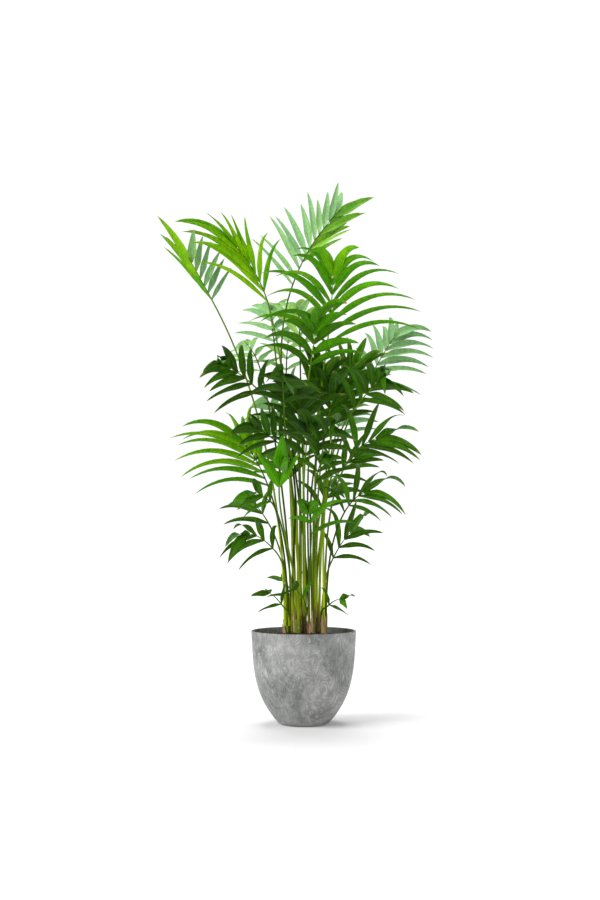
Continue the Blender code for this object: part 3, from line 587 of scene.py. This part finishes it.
# ---------------------------------------------------------------- fine shapes

STALK_SIDES = 10
STALK_RINGS = 30
RACHIS_RINGS = 20
LEAF_ROWS = 12
LEAF_COLUMNS = 9
SKIN = 0.00045  # half the thickness of a leaflet along its midrib
BASE_SLIMNESS = 0.72  # how much narrower the lowest fronds' leaflets are
STEM_ROWS, STEM_SIDES, STEM_LOBES = 26, 60, 5
HUSKS, HUSK_ROWS, HUSK_COLUMNS = 6, 22, 6
PLANTER_SIDES = 144
SOIL_ROWS, SOIL_SIDES = 34, 120
SOIL_ROOM = 0.0012 + GAP  # between the soil's edge and the planter
CRUMBS = 700

# How yellow (1) or dark (0) each frond's leaflets are. This is partly the frond's own colour. It
# is also painted shade that darkens the fronds deep in the crown, and painted light that brightens
# the lit outer ones.
COMMON_HUE_AND_SHADE = 0.25
HUES_AND_SHADE = dict(
    front_high=0.62, front_centre=0.40, crown_back=0.55,
    far_left=0.52, left_high=0.80, mid_left=0.20,
    core_left=0.08, right_mid=0.28, core_low=0.06,
    left_young=0.54, right_low=0.26, left_arch=0.68,
    left_grey=0.22, right_high=0.45, upper_mid=0.45,
    back_centre=0.75, back_left=0.70, back_right=0.50,
    fill_front=0.10, fill_centre=0.20, core_front=0.06,
    core_right=0.18, mid_right=0.30, low_left_a=0.40,
    centre_small=0.42, upper_back=0.75,
)

# Leaflets whose underside is as green as the top: the frond and the side they sit on.
GREEN_BELOW = {("frond_crown_back", 1): 0.85, ("frond_far_left", -1): 0.95}


class Skin:
    """Points, faces and per-point values gathered into one mesh."""

    def __init__(self):
        self.points, self.faces = [], []
        self.values = {name: [] for name in ("tone", "under", "stalk", "along", "across", "dry")}
        self.total = 0

    def add(self, points, faces, **values):
        """Adds a block of points with its faces; a missing value is nought."""
        points = np.asarray(points, float)
        self.points.append(points)
        self.faces += [tuple(int(i) + self.total for i in face) for face in faces]
        for name, stored in self.values.items():
            value = values.get(name, 0.0)
            stored.append(np.broadcast_to(np.asarray(value, float), (len(points),)))
        self.total += len(points)

    def finish(self, name, shade, smooth_angle=60):
        """The mesh as an object."""
        mesh = bpy.data.meshes.new(name)
        mesh.from_pydata(np.concatenate(self.points).tolist(), [], self.faces)
        for key, stored in self.values.items():
            attribute = mesh.attributes.new(key, "FLOAT", "POINT")
            attribute.data.foreach_set("value", np.concatenate(stored).astype(np.float32))
        mesh.update()
        mesh.shade_smooth()
        mesh.set_sharp_from_angle(angle=math.radians(smooth_angle))
        mesh.materials.append(shade)
        made = bpy.data.objects.new(name, mesh)
        bpy.context.scene.collection.objects.link(made)
        return made


def grid_faces(rows, columns, closed=False, flip=False):
    """Faces of a grid of points, wrapped round its columns if closed."""
    faces = []
    last = columns if closed else columns - 1
    for r in range(rows - 1):
        for c in range(last):
            n = (c + 1) % columns
            face = (r * columns + c, r * columns + n, (r + 1) * columns + n, (r + 1) * columns + c)
            faces.append(face[::-1] if flip else face)
    return faces


def cap_faces(rows, columns, flip=False):
    """Fans that close a wrapped grid's first and last row to the two points after it."""
    first, last = rows * columns, rows * columns + 1
    faces = []
    for c in range(columns):
        n = (c + 1) % columns
        low, high = (rows - 1) * columns + c, (rows - 1) * columns + n
        faces.append((c, n, first) if flip else (c, first, n))
        faces.append((high, low, last) if flip else (low, high, last))
    return faces


def sheet_faces(rows, columns, flip=False):
    """Faces of two equal grids, one behind the other, joined all round their edge."""
    count = rows * columns
    front = grid_faces(rows, columns, flip=flip)
    faces = front + [tuple(k + count for k in face[::-1]) for face in front]
    rim = [(r, 0) for r in range(rows)] + [(rows - 1, c) for c in range(1, columns)]
    rim += [(r, columns - 1) for r in range(rows - 2, -1, -1)]
    rim += [(0, c) for c in range(columns - 2, 0, -1)]
    index = [r * columns + c for r, c in rim]
    for a, b in zip(index, index[1:] + index[:1]):
        face = (a, b, b + count, a + count)
        faces.append(face[::-1] if flip else face)
    return faces


def circle(radius, count):
    """Points of a circle round the upright axis, as x and y."""
    turns = 2 * math.pi * np.arange(count) / count
    return [(radius * math.cos(turn), radius * math.sin(turn)) for turn in turns]


def add_tube(skin, points, ways, side, radii, sides, **values):
    """A closed round tube along points, its first side direction given."""
    corners = []
    turns = 2 * math.pi * np.arange(sides) / sides
    for point, way, radius in zip(points, ways, radii):
        side = unit(side - (side @ way) * way)
        other = np.cross(way, side)
        for turn in turns:
            corners.append(point + radius * (math.cos(turn) * side + math.sin(turn) * other))
    rings = len(points)
    faces = grid_faces(rings, sides, closed=True) + cap_faces(rings, sides)
    corners += [points[0], points[-1]]
    spread = {}
    for key, value in values.items():
        if np.ndim(value):
            spread[key] = np.concatenate((np.repeat(value, sides), [value[0], value[-1]]))
        else:
            spread[key] = value
    skin.add(corners, faces, **spread)


def add_leaflet(skin, leaf, tone, dry, chance):
    """A fine leaflet: two skins, a folded ridge, ribs and a wavy edge."""
    points, wides, faces_out = leaflet_line(leaf, LEAF_ROWS)
    rows, columns = LEAF_ROWS + 1, LEAF_COLUMNS
    across = np.linspace(-1, 1, columns)
    phase = chance.uniform(0, 6.28)
    twist = math.radians(chance.uniform(-16, 16))
    top, bottom = [], []
    for i in range(rows):
        t = i / LEAF_ROWS
        half = max(0.5 * leaf.width * width_share(t), 0.0003)
        turn = twist * t * t
        wide = math.cos(turn) * wides[i] + math.sin(turn) * faces_out[i]
        out = math.cos(turn) * faces_out[i] - math.sin(turn) * wides[i]
        up = out * leaf.frond.face
        fold = half * LEAFLET_FOLD * 2
        wave = 0.0016 * math.sin(7.5 * t + phase) * math.sin(math.pi * t)
        for a in across:
            rise = fold * (0.5 - abs(a) ** 1.4)
            rise += 0.045 * half * math.cos(3 * math.pi * a) * (1 - abs(a))
            rise += wave * abs(a) * (1 if a > 0 else -0.7)
            rise -= 0.10 * half * a * a
            spot = points[i] + wide * half * a + up * rise
            thick = SKIN * (1 - 0.75 * abs(a)) * (1 - 0.6 * t)
            top.append(spot + up * thick)
            bottom.append(spot - up * thick)
    flip = leaf.frond.face * leaf.side > 0
    pale = 1.0 - GREEN_BELOW.get((leaf.frond.name, leaf.side), 0.0)
    pale *= 1.0 if leaf.frond.face < 0 else 0.3
    along = np.repeat(np.linspace(0, 1, rows), columns)
    spread = np.tile(across, rows)
    count = rows * columns
    skin.add(
        np.concatenate((top, bottom)), sheet_faces(rows, columns, flip),
        tone=tone, dry=dry, along=np.tile(along, 2), across=np.tile(spread, 2),
        under=np.concatenate((np.zeros(count), np.full(count, pale))),
    )


def fine_frond(frond, foot, sway, leaves, shade, chance):
    """The visible frond: a round stalk and rachis, and fine leaflets."""
    skin = Skin()
    stalk, stalk_ways = curve_points(stalk_knots(frond, foot, sway), STALK_RINGS)
    stalk_ways[0] = UP
    rachis, rachis_ways = curve_points(rachis_knots(frond), RACHIS_RINGS)
    points = np.concatenate((stalk[:-1], rachis))
    ways = np.concatenate((stalk_ways[:-1], rachis_ways))
    share = np.linspace(0, 1, len(points))
    radii = np.concatenate((
        np.linspace(STALK_RADIUS * 1.12, STALK_TOP_RADIUS, STALK_RINGS)[:-1],
        np.linspace(STALK_TOP_RADIUS, RACHIS_TIP_RADIUS * 0.8, RACHIS_RINGS),
    ))
    # The frond's colour value, including painted shade for fronds deep in the crown and painted
    # light for lit outer fronds.
    hue_and_shade = HUES_AND_SHADE.get(frond.name[len("frond_"):], COMMON_HUE_AND_SHADE)
    side, _ = blade_frame(frond, rachis_ways[0])
    # A random darkening for each stalk. It is painted shade standing in for the shadow among the
    # crowded stalks, and is passed on as the stalk's dry value.
    stalk_shade = chance.uniform(-0.5, 0.5)
    add_tube(skin, points, ways, side, radii, STALK_SIDES, stalk=1.0, along=share, tone=hue_and_shade,
             dry=stalk_shade)
    slim = BASE_SLIMNESS if frond.name.startswith("frond_base") else 1.0
    for leaf in leaves:
        leaf = leaf._replace(width=leaf.width * slim)
        tone = hue_and_shade + chance.uniform(-0.12, 0.12)
        tone += 0.25 * GREEN_BELOW.get((frond.name, leaf.side), 0.0)
        dry = chance.uniform(0, 1)
        add_leaflet(skin, leaf, tone, dry, chance)
    return skin.finish("blade" + frond.name[len("frond"):], shade)


def fine_stem(stem, shade, chance):
    """A short stem of nested leaf bases, with torn dry sheaths round it."""
    skin = Skin()
    rows, columns = STEM_ROWS, STEM_SIDES
    phase = chance.uniform(0, 6.28)
    points = []
    for r in range(rows):
        t = r / (rows - 1)
        height = SOIL_TOP + GAP + t * stem.height
        for c in range(columns):
            turn = 2 * math.pi * c / columns
            lobe = abs(math.sin(0.5 * STEM_LOBES * turn + phase + 0.5 * t))
            rough = noise.noise(Vector((turn * 3, t * 2.0, phase)))
            radius = STEM_RADIUS * (0.62 + 0.38 * lobe**0.6 + 0.03 * rough)
            points.append((
                stem.x + radius * math.cos(turn), stem.y + radius * math.sin(turn), height
            ))
    faces = grid_faces(rows, columns, closed=True) + cap_faces(rows, columns)
    points.append((stem.x, stem.y, SOIL_TOP + GAP))
    points.append((stem.x, stem.y, SOIL_TOP + GAP + stem.height))
    along = np.concatenate((np.repeat(np.linspace(0, 1, rows), columns), (0, 1)))
    across = np.concatenate((np.tile(np.arange(columns) / columns, rows), (0, 0)))
    skin.add(points, faces, along=along, across=across, tone=chance.uniform(0, 1))
    for _ in range(HUSKS):
        add_husk(skin, stem, chance)
    return skin.finish("base" + stem.name[len("stem"):], shade)


def add_husk(skin, stem, chance):
    """One torn strip of dry sheath: it clings to the stalks and peels at its top."""
    rows, columns = HUSK_ROWS, HUSK_COLUMNS
    start = chance.uniform(0, 2 * math.pi)
    span = chance.uniform(0.35, 0.85)
    tall = stem.height * chance.uniform(0.8, 2.1)
    lean = chance.uniform(-0.5, 0.5)
    peel = chance.uniform(0.001, 0.0045)
    top, back = [], []
    for r in range(rows):
        t = r / (rows - 1)
        radius = STEM_RADIUS * 1.03 + peel * t**3
        radius += 0.0006 * noise.noise(Vector((start, t * 9.0, 0.5)))
        width = span * (1 - t**1.6) ** 0.6 + 0.05
        for c in range(columns):
            a = c / (columns - 1) - 0.5
            turn = start + width * a + lean * t * t
            ragged = 0.03 * tall * math.sin(11 * a + start) * t
            out = np.array((math.cos(turn), math.sin(turn), 0.0))
            spot = np.array((stem.x, stem.y, SOIL_TOP + 0.001 + tall * t + ragged))
            curl = 0.0012 * (2 * a) ** 2 * t
            top.append(spot + out * (radius + 0.0005 + curl))
            back.append(spot + out * (radius - 0.0001 + curl))
    skin.add(
        np.concatenate((top, back)), sheet_faces(rows, columns),
        dry=1.0, along=np.tile(np.repeat(np.linspace(0, 1, rows), columns), 2),
        across=np.tile(np.linspace(0, 1, columns), 2 * rows), tone=chance.uniform(0, 1),
    )


def fine_planter(shade):
    """The planter turned smoothly, with a soft rim."""
    skin = Skin()
    sides = PLANTER_SIDES
    outside = [tuple(p) for p in outer_profile(40)]
    foot = ((0.013, 0.0), (0.006, 0.0010), (0.0008, 0.0036))
    profile = [(BASE_RADIUS - inset, height) for inset, height in foot]
    profile += [(r, h) for r, h in outside if 0.007 < h < PLANTER_HEIGHT - 0.004]
    lip = WALL / 2
    for k in range(9):
        turn = math.pi * k / 8
        profile.append((
            RIM_RADIUS - lip + lip * math.cos(turn),
            PLANTER_HEIGHT - lip * 0.75 + lip * 0.75 * math.sin(turn),
        ))
    for share in (0.96, 0.9, 0.8, 0.7, 0.6, 0.5, 0.4, 0.3, 0.2, 0.12, 0.07):
        profile.append((inner_radius(share * PLANTER_HEIGHT), share * PLANTER_HEIGHT))
    profile.append((inner_radius(FLOOR) - 0.004, FLOOR))
    points = [(x, y, height) for radius, height in profile for x, y in circle(radius, sides)]
    points += [(0.0, 0.0, 0.0), (0.0, 0.0, FLOOR)]
    rows = len(profile)
    skin.add(points, grid_faces(rows, sides, closed=True) + cap_faces(rows, sides))
    return skin.finish("pot_body", shade, 40)


def mound(radius):
    """How far the soil rises over its level round the stems."""
    t = min(1.0, max(0.0, (0.135 - radius) / 0.085))
    return 0.015 * t * t * (3 - 2 * t)


def fine_soil(shade, chance):
    """Crumbly soil: a rough round bed with many small lumps and chips on it."""
    skin = Skin()
    rows, sides = SOIL_ROWS, SOIL_SIDES
    edge = inner_radius(SOIL_TOP - SOIL_EDGE_DROP) - SOIL_ROOM
    points = []
    for r in range(rows):
        radius = edge * (r + 1) / rows
        inward = min(1.0, max(0.0, (edge - radius) / 0.04))
        height = SOIL_TOP - 0.0016 - SOIL_EDGE_DROP * (1 - inward)
        for x, y in circle(radius, sides):
            rough = noise.fractal(Vector((x * 60, y * 60, 3.1)), 1.0, 2.0, 4)
            points.append((x, y, height + mound(radius) + 0.0022 * rough))
    for share in (0.80, 0.62):
        low = share * PLANTER_HEIGHT
        points += [(x, y, low) for x, y in circle(inner_radius(low) - SOIL_ROOM, sides)]
    points += [(0.0, 0.0, SOIL_TOP + mound(0.0) - 0.001), (0.0, 0.0, low)]
    rows += 2
    faces = grid_faces(rows, sides, closed=True, flip=True) + cap_faces(rows, sides, flip=True)
    skin.add(points, faces, tone=0.3)
    for _ in range(CRUMBS):
        radius = edge * 0.97 * math.sqrt(chance.random())
        turn = chance.uniform(0, 2 * math.pi)
        size = chance.uniform(0.0014, 0.0048)
        drop = SOIL_EDGE_DROP * max(0.0, 1 - (edge - radius) / 0.04)
        spot = np.array((radius * math.cos(turn), radius * math.sin(turn),
                         SOIL_TOP - 0.0012 - drop + mound(radius) + size * 0.25))
        add_crumb(skin, spot, size, chance)
    return skin.finish("soil_bed", shade, 35)


def add_crumb(skin, spot, size, chance):
    """A small uneven lump."""
    shape = [chance.uniform(0.6, 1.3) for _ in range(3)]
    turn = chance.uniform(0, 3.14)
    points = [spot + np.array((0, 0, size * 0.7 * shape[2]))]
    for level in (0.5, -0.5):
        for c in range(6):
            a = 2 * math.pi * c / 6 + turn + level
            r = size * 0.9 * chance.uniform(0.75, 1.15)
            points.append(spot + np.array((
                r * math.cos(a) * shape[0], r * math.sin(a) * shape[1], size * 0.5 * level
            )))
    points.append(spot - np.array((0, 0, size * 0.6)))
    faces = []
    for c in range(6):
        n = (c + 1) % 6
        faces.append((0, 1 + c, 1 + n))
        faces.append((1 + c, 7 + c, 7 + n, 1 + n))
        faces.append((13, 7 + n, 7 + c))
    skin.add(points, faces, tone=chance.random())


# ------------------------------------------------------------------ materials


class Nodes:
    """A short way to add and join shader nodes."""

    def __init__(self, tree):
        self.tree = tree

    def add(self, kind, **settings):
        """A shader node with some of its settings."""
        node = self.tree.nodes.new("ShaderNode" + kind)
        for key, value in settings.items():
            setattr(node, key, value)
        return node

    def join(self, source, target):
        """Joins an output to an input."""
        self.tree.links.new(source, target)

    def put(self, socket, value):
        """A link or a plain value into a socket."""
        if hasattr(value, "is_output"):
            self.join(value, socket)
        else:
            socket.default_value = value

    def value(self, name):
        """A stored per-point value."""
        return self.add("Attribute", attribute_name=name).outputs["Fac"]

    def math(self, operation, a, b=0.0, clamp=False):
        """One arithmetic step."""
        node = self.add("Math", operation=operation, use_clamp=clamp)
        self.put(node.inputs[0], a)
        self.put(node.inputs[1], b)
        return node.outputs[0]

    def times(self, a, b, clamp=False):
        """A product."""
        return self.math("MULTIPLY", a, b, clamp)

    def plus(self, a, b):
        """A sum."""
        return self.math("ADD", a, b)

    def noise(self, scale, detail=4.0, rough=0.55, distortion=0.0, vector=None):
        """Noise in object coordinates."""
        node = self.add("TexNoise")
        node.inputs["Scale"].default_value = scale
        node.inputs["Detail"].default_value = detail
        node.inputs["Roughness"].default_value = rough
        node.inputs["Distortion"].default_value = distortion
        self.join(vector or self.place(), node.inputs["Vector"])
        return node.outputs["Fac"]

    def place(self, scale=(1, 1, 1)):
        """Object coordinates, stretched."""
        coords = self.add("TexCoord")
        mapping = self.add("Mapping")
        mapping.inputs["Scale"].default_value = scale
        self.join(coords.outputs["Object"], mapping.inputs["Vector"])
        return mapping.outputs["Vector"]

    def ramp(self, fac, stops):
        """A colour ramp."""
        node = self.add("ValToRGB")
        ramp = node.color_ramp
        while len(ramp.elements) < len(stops):
            ramp.elements.new(0.5)
        for element, (at, color) in zip(ramp.elements, stops):
            element.position = at
            element.color = (*color, 1.0)
        self.put(node.inputs["Fac"], fac)
        return node.outputs["Color"]

    def mix(self, fac, a, b, kind="MIX"):
        """A colour mix."""
        node = self.add("Mix", data_type="RGBA", blend_type=kind)
        self.put(node.inputs[0], fac)
        for socket, value in ((node.inputs[6], a), (node.inputs[7], b)):
            if hasattr(value, "is_output"):
                self.join(value, socket)
            else:
                socket.default_value = (*value, 1.0)
        return node.outputs[2]


def new_material(name):
    """An empty material with its Principled shader."""
    made = bpy.data.materials.new(name)
    made.use_nodes = True
    return made, Nodes(made.node_tree), made.node_tree.nodes["Principled BSDF"]


def bump(nodes, shader, height, strength, distance):
    """A bump from a height."""
    node = nodes.add("Bump")
    node.inputs["Strength"].default_value = strength
    node.inputs["Distance"].default_value = distance
    nodes.join(height, node.inputs["Height"])
    nodes.join(node.outputs["Normal"], shader.inputs["Normal"])


def leaf_material():
    """Leaflets with veins and pale undersides, and yellow-green stalks. Painted shade darkens the
    fronds deep in the crown, the grooves between the leaflet ribs and some stalks. Painted light
    brightens the lit fronds and the rib ridges.
    """
    made, nodes, shader = new_material("palm_leaf")
    tone, under = nodes.value("tone"), nodes.value("under")
    along, across = nodes.value("along"), nodes.value("across")
    blotch = nodes.noise(16.0, 3.0)
    hue_and_shade = nodes.plus(tone, nodes.times(nodes.math("SUBTRACT", blotch, 0.5), 0.45))
    # Leaflet colour from the per-frond value. Its dark end is painted shade for fronds deep in the
    # crown, and its bright end is partly painted light for lit fronds.
    top = nodes.ramp(hue_and_shade, [
        (0.0, (0.015, 0.056, 0.001)), (0.3, (0.028, 0.108, 0.001)),
        (0.62, (0.060, 0.270, 0.001)), (1.0, (0.260, 0.520, 0.002)),
    ])
    below = nodes.ramp(hue_and_shade, [
        (0.0, (0.060, 0.150, 0.040)), (0.45, (0.175, 0.360, 0.150)),
        (0.75, (0.230, 0.430, 0.140)), (1.0, (0.330, 0.540, 0.090)),
    ])
    stripe = nodes.math("ABSOLUTE", nodes.math("SINE", nodes.times(across, 9.5)))
    vein = nodes.math("POWER", stripe, 0.5)
    midrib = nodes.math("LESS_THAN", nodes.math("ABSOLUTE", across), 0.06)
    color = nodes.mix(under, top, below)
    # Painted shade in the grooves between the ribs and painted highlight on the rib ridges. It
    # follows the same stripes as the bump, over the real vein lines.
    groove_shade_and_rib_light = nodes.ramp(vein, [(0.15, (0.22, 0.22, 0.22)), (0.9, (0.66, 0.66, 0.66))])
    color = nodes.mix(0.85, color, groove_shade_and_rib_light, "OVERLAY")
    color = nodes.mix(nodes.times(midrib, 0.30), color, (0.20, 0.36, 0.03))
    streak = nodes.noise(1.0, 3.0, vector=nodes.place((120, 120, 38)))
    tint = nodes.ramp(streak, [(0.35, (0.36, 0.36, 0.36)), (0.65, (0.66, 0.66, 0.60))])
    color = nodes.mix(0.5, color, tint, "OVERLAY")
    end = nodes.times(nodes.math("SUBTRACT", along, 0.86), 7.0, clamp=True)
    spoilt = nodes.times(end, nodes.math("GREATER_THAN", nodes.value("dry"), 0.62))
    color = nodes.mix(nodes.times(spoilt, 0.75), color, (0.38, 0.36, 0.07))
    stem = nodes.ramp(nodes.plus(along, nodes.times(blotch, 0.35)), [
        (0.20, (0.360, 0.460, 0.012)), (0.45, (0.105, 0.205, 0.003)), (1.0, (0.060, 0.150, 0.003)),
    ])
    flecks = nodes.noise(1.0, 4.0, vector=nodes.place((700, 700, 60)))
    stem = nodes.mix(nodes.times(flecks, 0.5), stem, (0.5, 0.5, 0.35), "SOFT_LIGHT")
    # On stalks, the dry value is painted shade: each stalk is darkened at random in place of the
    # shadow among them. On leaflets and husks, the dry value is real dryness.
    shade = nodes.plus(nodes.times(nodes.value("dry"), 1.35), 0.78)
    dim = nodes.add("CombineColor")
    for socket in dim.inputs:
        nodes.join(shade, socket)
    stem = nodes.mix(1.0, stem, dim.outputs["Color"], "MULTIPLY")
    color = nodes.mix(nodes.value("stalk"), color, stem)
    nodes.join(color, shader.inputs["Base Color"])
    rough = nodes.plus(nodes.times(under, 0.14), 0.42)
    rough = nodes.plus(rough, nodes.times(blotch, 0.12))
    nodes.join(rough, shader.inputs["Roughness"])
    shader.inputs["Specular IOR Level"].default_value = 0.22
    shader.inputs["Specular Tint"].default_value = (0.55, 1.0, 0.15, 1.0)
    ribs = nodes.plus(stripe, nodes.times(streak, 0.6))
    bump(nodes, shader, ribs, 0.5, 0.0012)
    return made


def sheath_material():
    """Leaf bases going from green to tan, with dry fibrous husks."""
    made, nodes, shader = new_material("palm_sheath")
    fibre = nodes.noise(1.0, 5.0, vector=nodes.place((520, 520, 26)))
    patch = nodes.noise(55.0, 3.0)
    along = nodes.value("along")
    age = nodes.plus(nodes.times(along, 0.7), nodes.times(patch, 0.5))
    live = nodes.ramp(age, [
        (0.2, (0.230, 0.215, 0.045)), (0.45, (0.200, 0.290, 0.014)), (0.9, (0.180, 0.290, 0.006)),
    ])
    husk = nodes.ramp(fibre, [
        (0.30, (0.150, 0.080, 0.035)), (0.5, (0.420, 0.260, 0.140)), (0.70, (0.640, 0.450, 0.290)),
    ])
    mask = nodes.math("GREATER_THAN", patch, 0.66)
    color = nodes.mix(nodes.times(mask, 0.85), live, husk)
    color = nodes.mix(nodes.value("dry"), color, husk)
    color = nodes.mix(nodes.times(fibre, 0.7), color, (0.5, 0.45, 0.4), "SOFT_LIGHT")
    nodes.join(color, shader.inputs["Base Color"])
    nodes.join(nodes.plus(nodes.times(fibre, 0.3), 0.5), shader.inputs["Roughness"])
    shader.inputs["Specular IOR Level"].default_value = 0.3
    bump(nodes, shader, fibre, 0.6, 0.0012)
    return made


def planter_material():
    """Grey stone-like skin with soft brushed swirls."""
    made, nodes, shader = new_material("planter_stone")
    cloud = nodes.noise(8.0, 4.0, 0.6, 0.8)
    bend = nodes.noise(1.0, 2.0, 0.45, 0.5, nodes.place((11.0, 11.0, 6.5)))
    curls = nodes.math("SINE", nodes.times(bend, 210.0))
    strokes = nodes.noise(1.0, 7.0, 0.70, 2.4, nodes.place((34, 34, 17)))
    grain = nodes.noise(380.0, 4.0)
    where = nodes.times(nodes.math("SUBTRACT", strokes, 0.34), 3.0, clamp=True)
    curls = nodes.times(nodes.times(curls, where), 0.075)
    mixed = nodes.plus(nodes.times(strokes, 0.45), curls)
    mixed = nodes.plus(mixed, nodes.times(cloud, 0.55))
    color = nodes.ramp(mixed, [
        (0.38, (0.125, 0.130, 0.128)), (0.47, (0.205, 0.211, 0.206)),
        (0.55, (0.290, 0.294, 0.285)), (0.66, (0.440, 0.440, 0.424)),
    ])
    color = nodes.mix(nodes.times(grain, 0.45), color, (0.5, 0.5, 0.5), "SOFT_LIGHT")
    nodes.join(color, shader.inputs["Base Color"])
    rough = nodes.plus(nodes.times(strokes, 0.3), 0.38)
    nodes.join(rough, shader.inputs["Roughness"])
    shader.inputs["Specular IOR Level"].default_value = 0.4
    relief = nodes.plus(nodes.times(mixed, 1.4), nodes.times(grain, 0.12))
    bump(nodes, shader, relief, 0.35, 0.0016)
    return made


def soil_material():
    """Dark moist soil with lighter orange-brown crumbs."""
    made, nodes, shader = new_material("dark_soil")
    grain = nodes.noise(240.0, 5.0, 0.65)
    lumps = nodes.noise(70.0, 4.0)
    crumbs = nodes.plus(nodes.times(grain, 0.6), nodes.times(lumps, 0.4))
    color = nodes.ramp(crumbs, [
        (0.30, (0.012, 0.007, 0.004)), (0.5, (0.045, 0.022, 0.011)), (0.75, (0.120, 0.060, 0.026)),
    ])
    chips = nodes.math("GREATER_THAN", nodes.value("tone"), 0.72)
    color = nodes.mix(nodes.times(chips, 0.7), color, (0.270, 0.105, 0.028))
    nodes.join(color, shader.inputs["Base Color"])
    nodes.join(nodes.plus(nodes.times(grain, 0.2), 0.78), shader.inputs["Roughness"])
    shader.inputs["Specular IOR Level"].default_value = 0.25
    bump(nodes, shader, grain, 0.8, 0.003)
    return made


def floor_material():
    """Plain white studio floor."""
    made, nodes, shader = new_material("studio_floor")
    tint = nodes.noise(3.0, 2.0)
    color = nodes.ramp(tint, [(0.3, (0.73, 0.73, 0.73)), (0.7, (0.74, 0.74, 0.74))])
    nodes.join(color, shader.inputs["Base Color"])
    shader.inputs["Roughness"].default_value = 0.9
    shader.inputs["Specular IOR Level"].default_value = 0.1
    shader.inputs["Emission Color"].default_value = (1.0, 1.0, 1.0, 1.0)
    shader.inputs["Emission Strength"].default_value = 0.10
    return made


# ---------------------------------------------------------------------- studio


def add_floor(shade):
    """A wide floor that runs to the horizon."""
    mesh = bpy.data.meshes.new("studio_floor")
    size = 60.0
    corners = [(-size, -size, 0), (size, -size, 0), (size, size, 0), (-size, size, 0)]
    mesh.from_pydata(corners, [], [(0, 1, 2, 3)])
    mesh.materials.append(shade)
    made = bpy.data.objects.new("studio_floor", mesh)
    bpy.context.scene.collection.objects.link(made)
    return made


def add_sun(name, way, strength, spread):
    """A broad soft sun that shines along a direction."""
    data = bpy.data.lights.new(name, "SUN")
    data.energy, data.angle = strength, math.radians(spread)
    made = bpy.data.objects.new(name, data)
    made.rotation_euler = Vector(way).to_track_quat("-Z", "Y").to_euler()
    bpy.context.scene.collection.objects.link(made)
    return made


def add_camera():
    """The camera that sees the palm from the front."""
    data = bpy.data.cameras.new("front_camera")
    data.sensor_width, data.lens = 36.0, 59.7
    made = bpy.data.objects.new("front_camera", data)
    made.location = (-0.0124, -5.0, 0.71)
    way = Vector((-0.0124, 0.0, 0.912)) - made.location
    made.rotation_euler = way.to_track_quat("-Z", "Y").to_euler()
    bpy.context.scene.collection.objects.link(made)
    bpy.context.scene.camera = made


def white_world(seen, given):
    """White all round: as bright as seen to the camera, as given to the object."""
    world = bpy.data.worlds.new("white_world")
    world.use_nodes = True
    nodes = Nodes(world.node_tree)
    shade = world.node_tree.nodes["Background"]
    shade.inputs["Color"].default_value = (1, 1, 1, 1)
    path = nodes.add("LightPath")
    strength = nodes.times(path.outputs["Is Camera Ray"], seen - given)
    nodes.join(nodes.plus(strength, given), shade.inputs["Strength"])
    bpy.context.scene.world = world


def add_piece(piece, node):
    """Lets a fine piece stand for a node of the part."""
    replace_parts(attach(piece, "root"), node)


def add_palm():
    """Every piece of the palm, in a fixed order of random draws."""
    leaf, sheath = leaf_material(), sheath_material()
    stalks = place_stalks()
    leaves = place_leaflets(stalks)
    chance = random.Random(23)
    for frond, (foot, sway), own in zip(FRONDS, stalks, leaves):
        add_piece(fine_frond(frond, foot, sway, own, leaf, chance), frond.name)
    for stem in STEMS:
        add_piece(fine_stem(stem, sheath, chance), stem.name)
    add_piece(fine_planter(planter_material()), "planter")
    add_piece(fine_soil(soil_material(), chance), "potting_soil")


def add_studio():
    """A pale floor, three broad suns, a white surround and the front camera."""
    floor = add_floor(floor_material())
    top = add_sun("top_light", (0.02, -0.20, -1.0), 2.5, 30)
    key = add_sun("key_light", (1.0, 0.60, -0.74), 2.9, 50)
    side = add_sun("side_light", (-1.0, 0.30, -0.35), 1.0, 60)
    add_camera()
    white_world(1.05, 0.27)
    bpy.context.scene.view_settings.view_transform = "Standard"


add_palm()
add_studio()
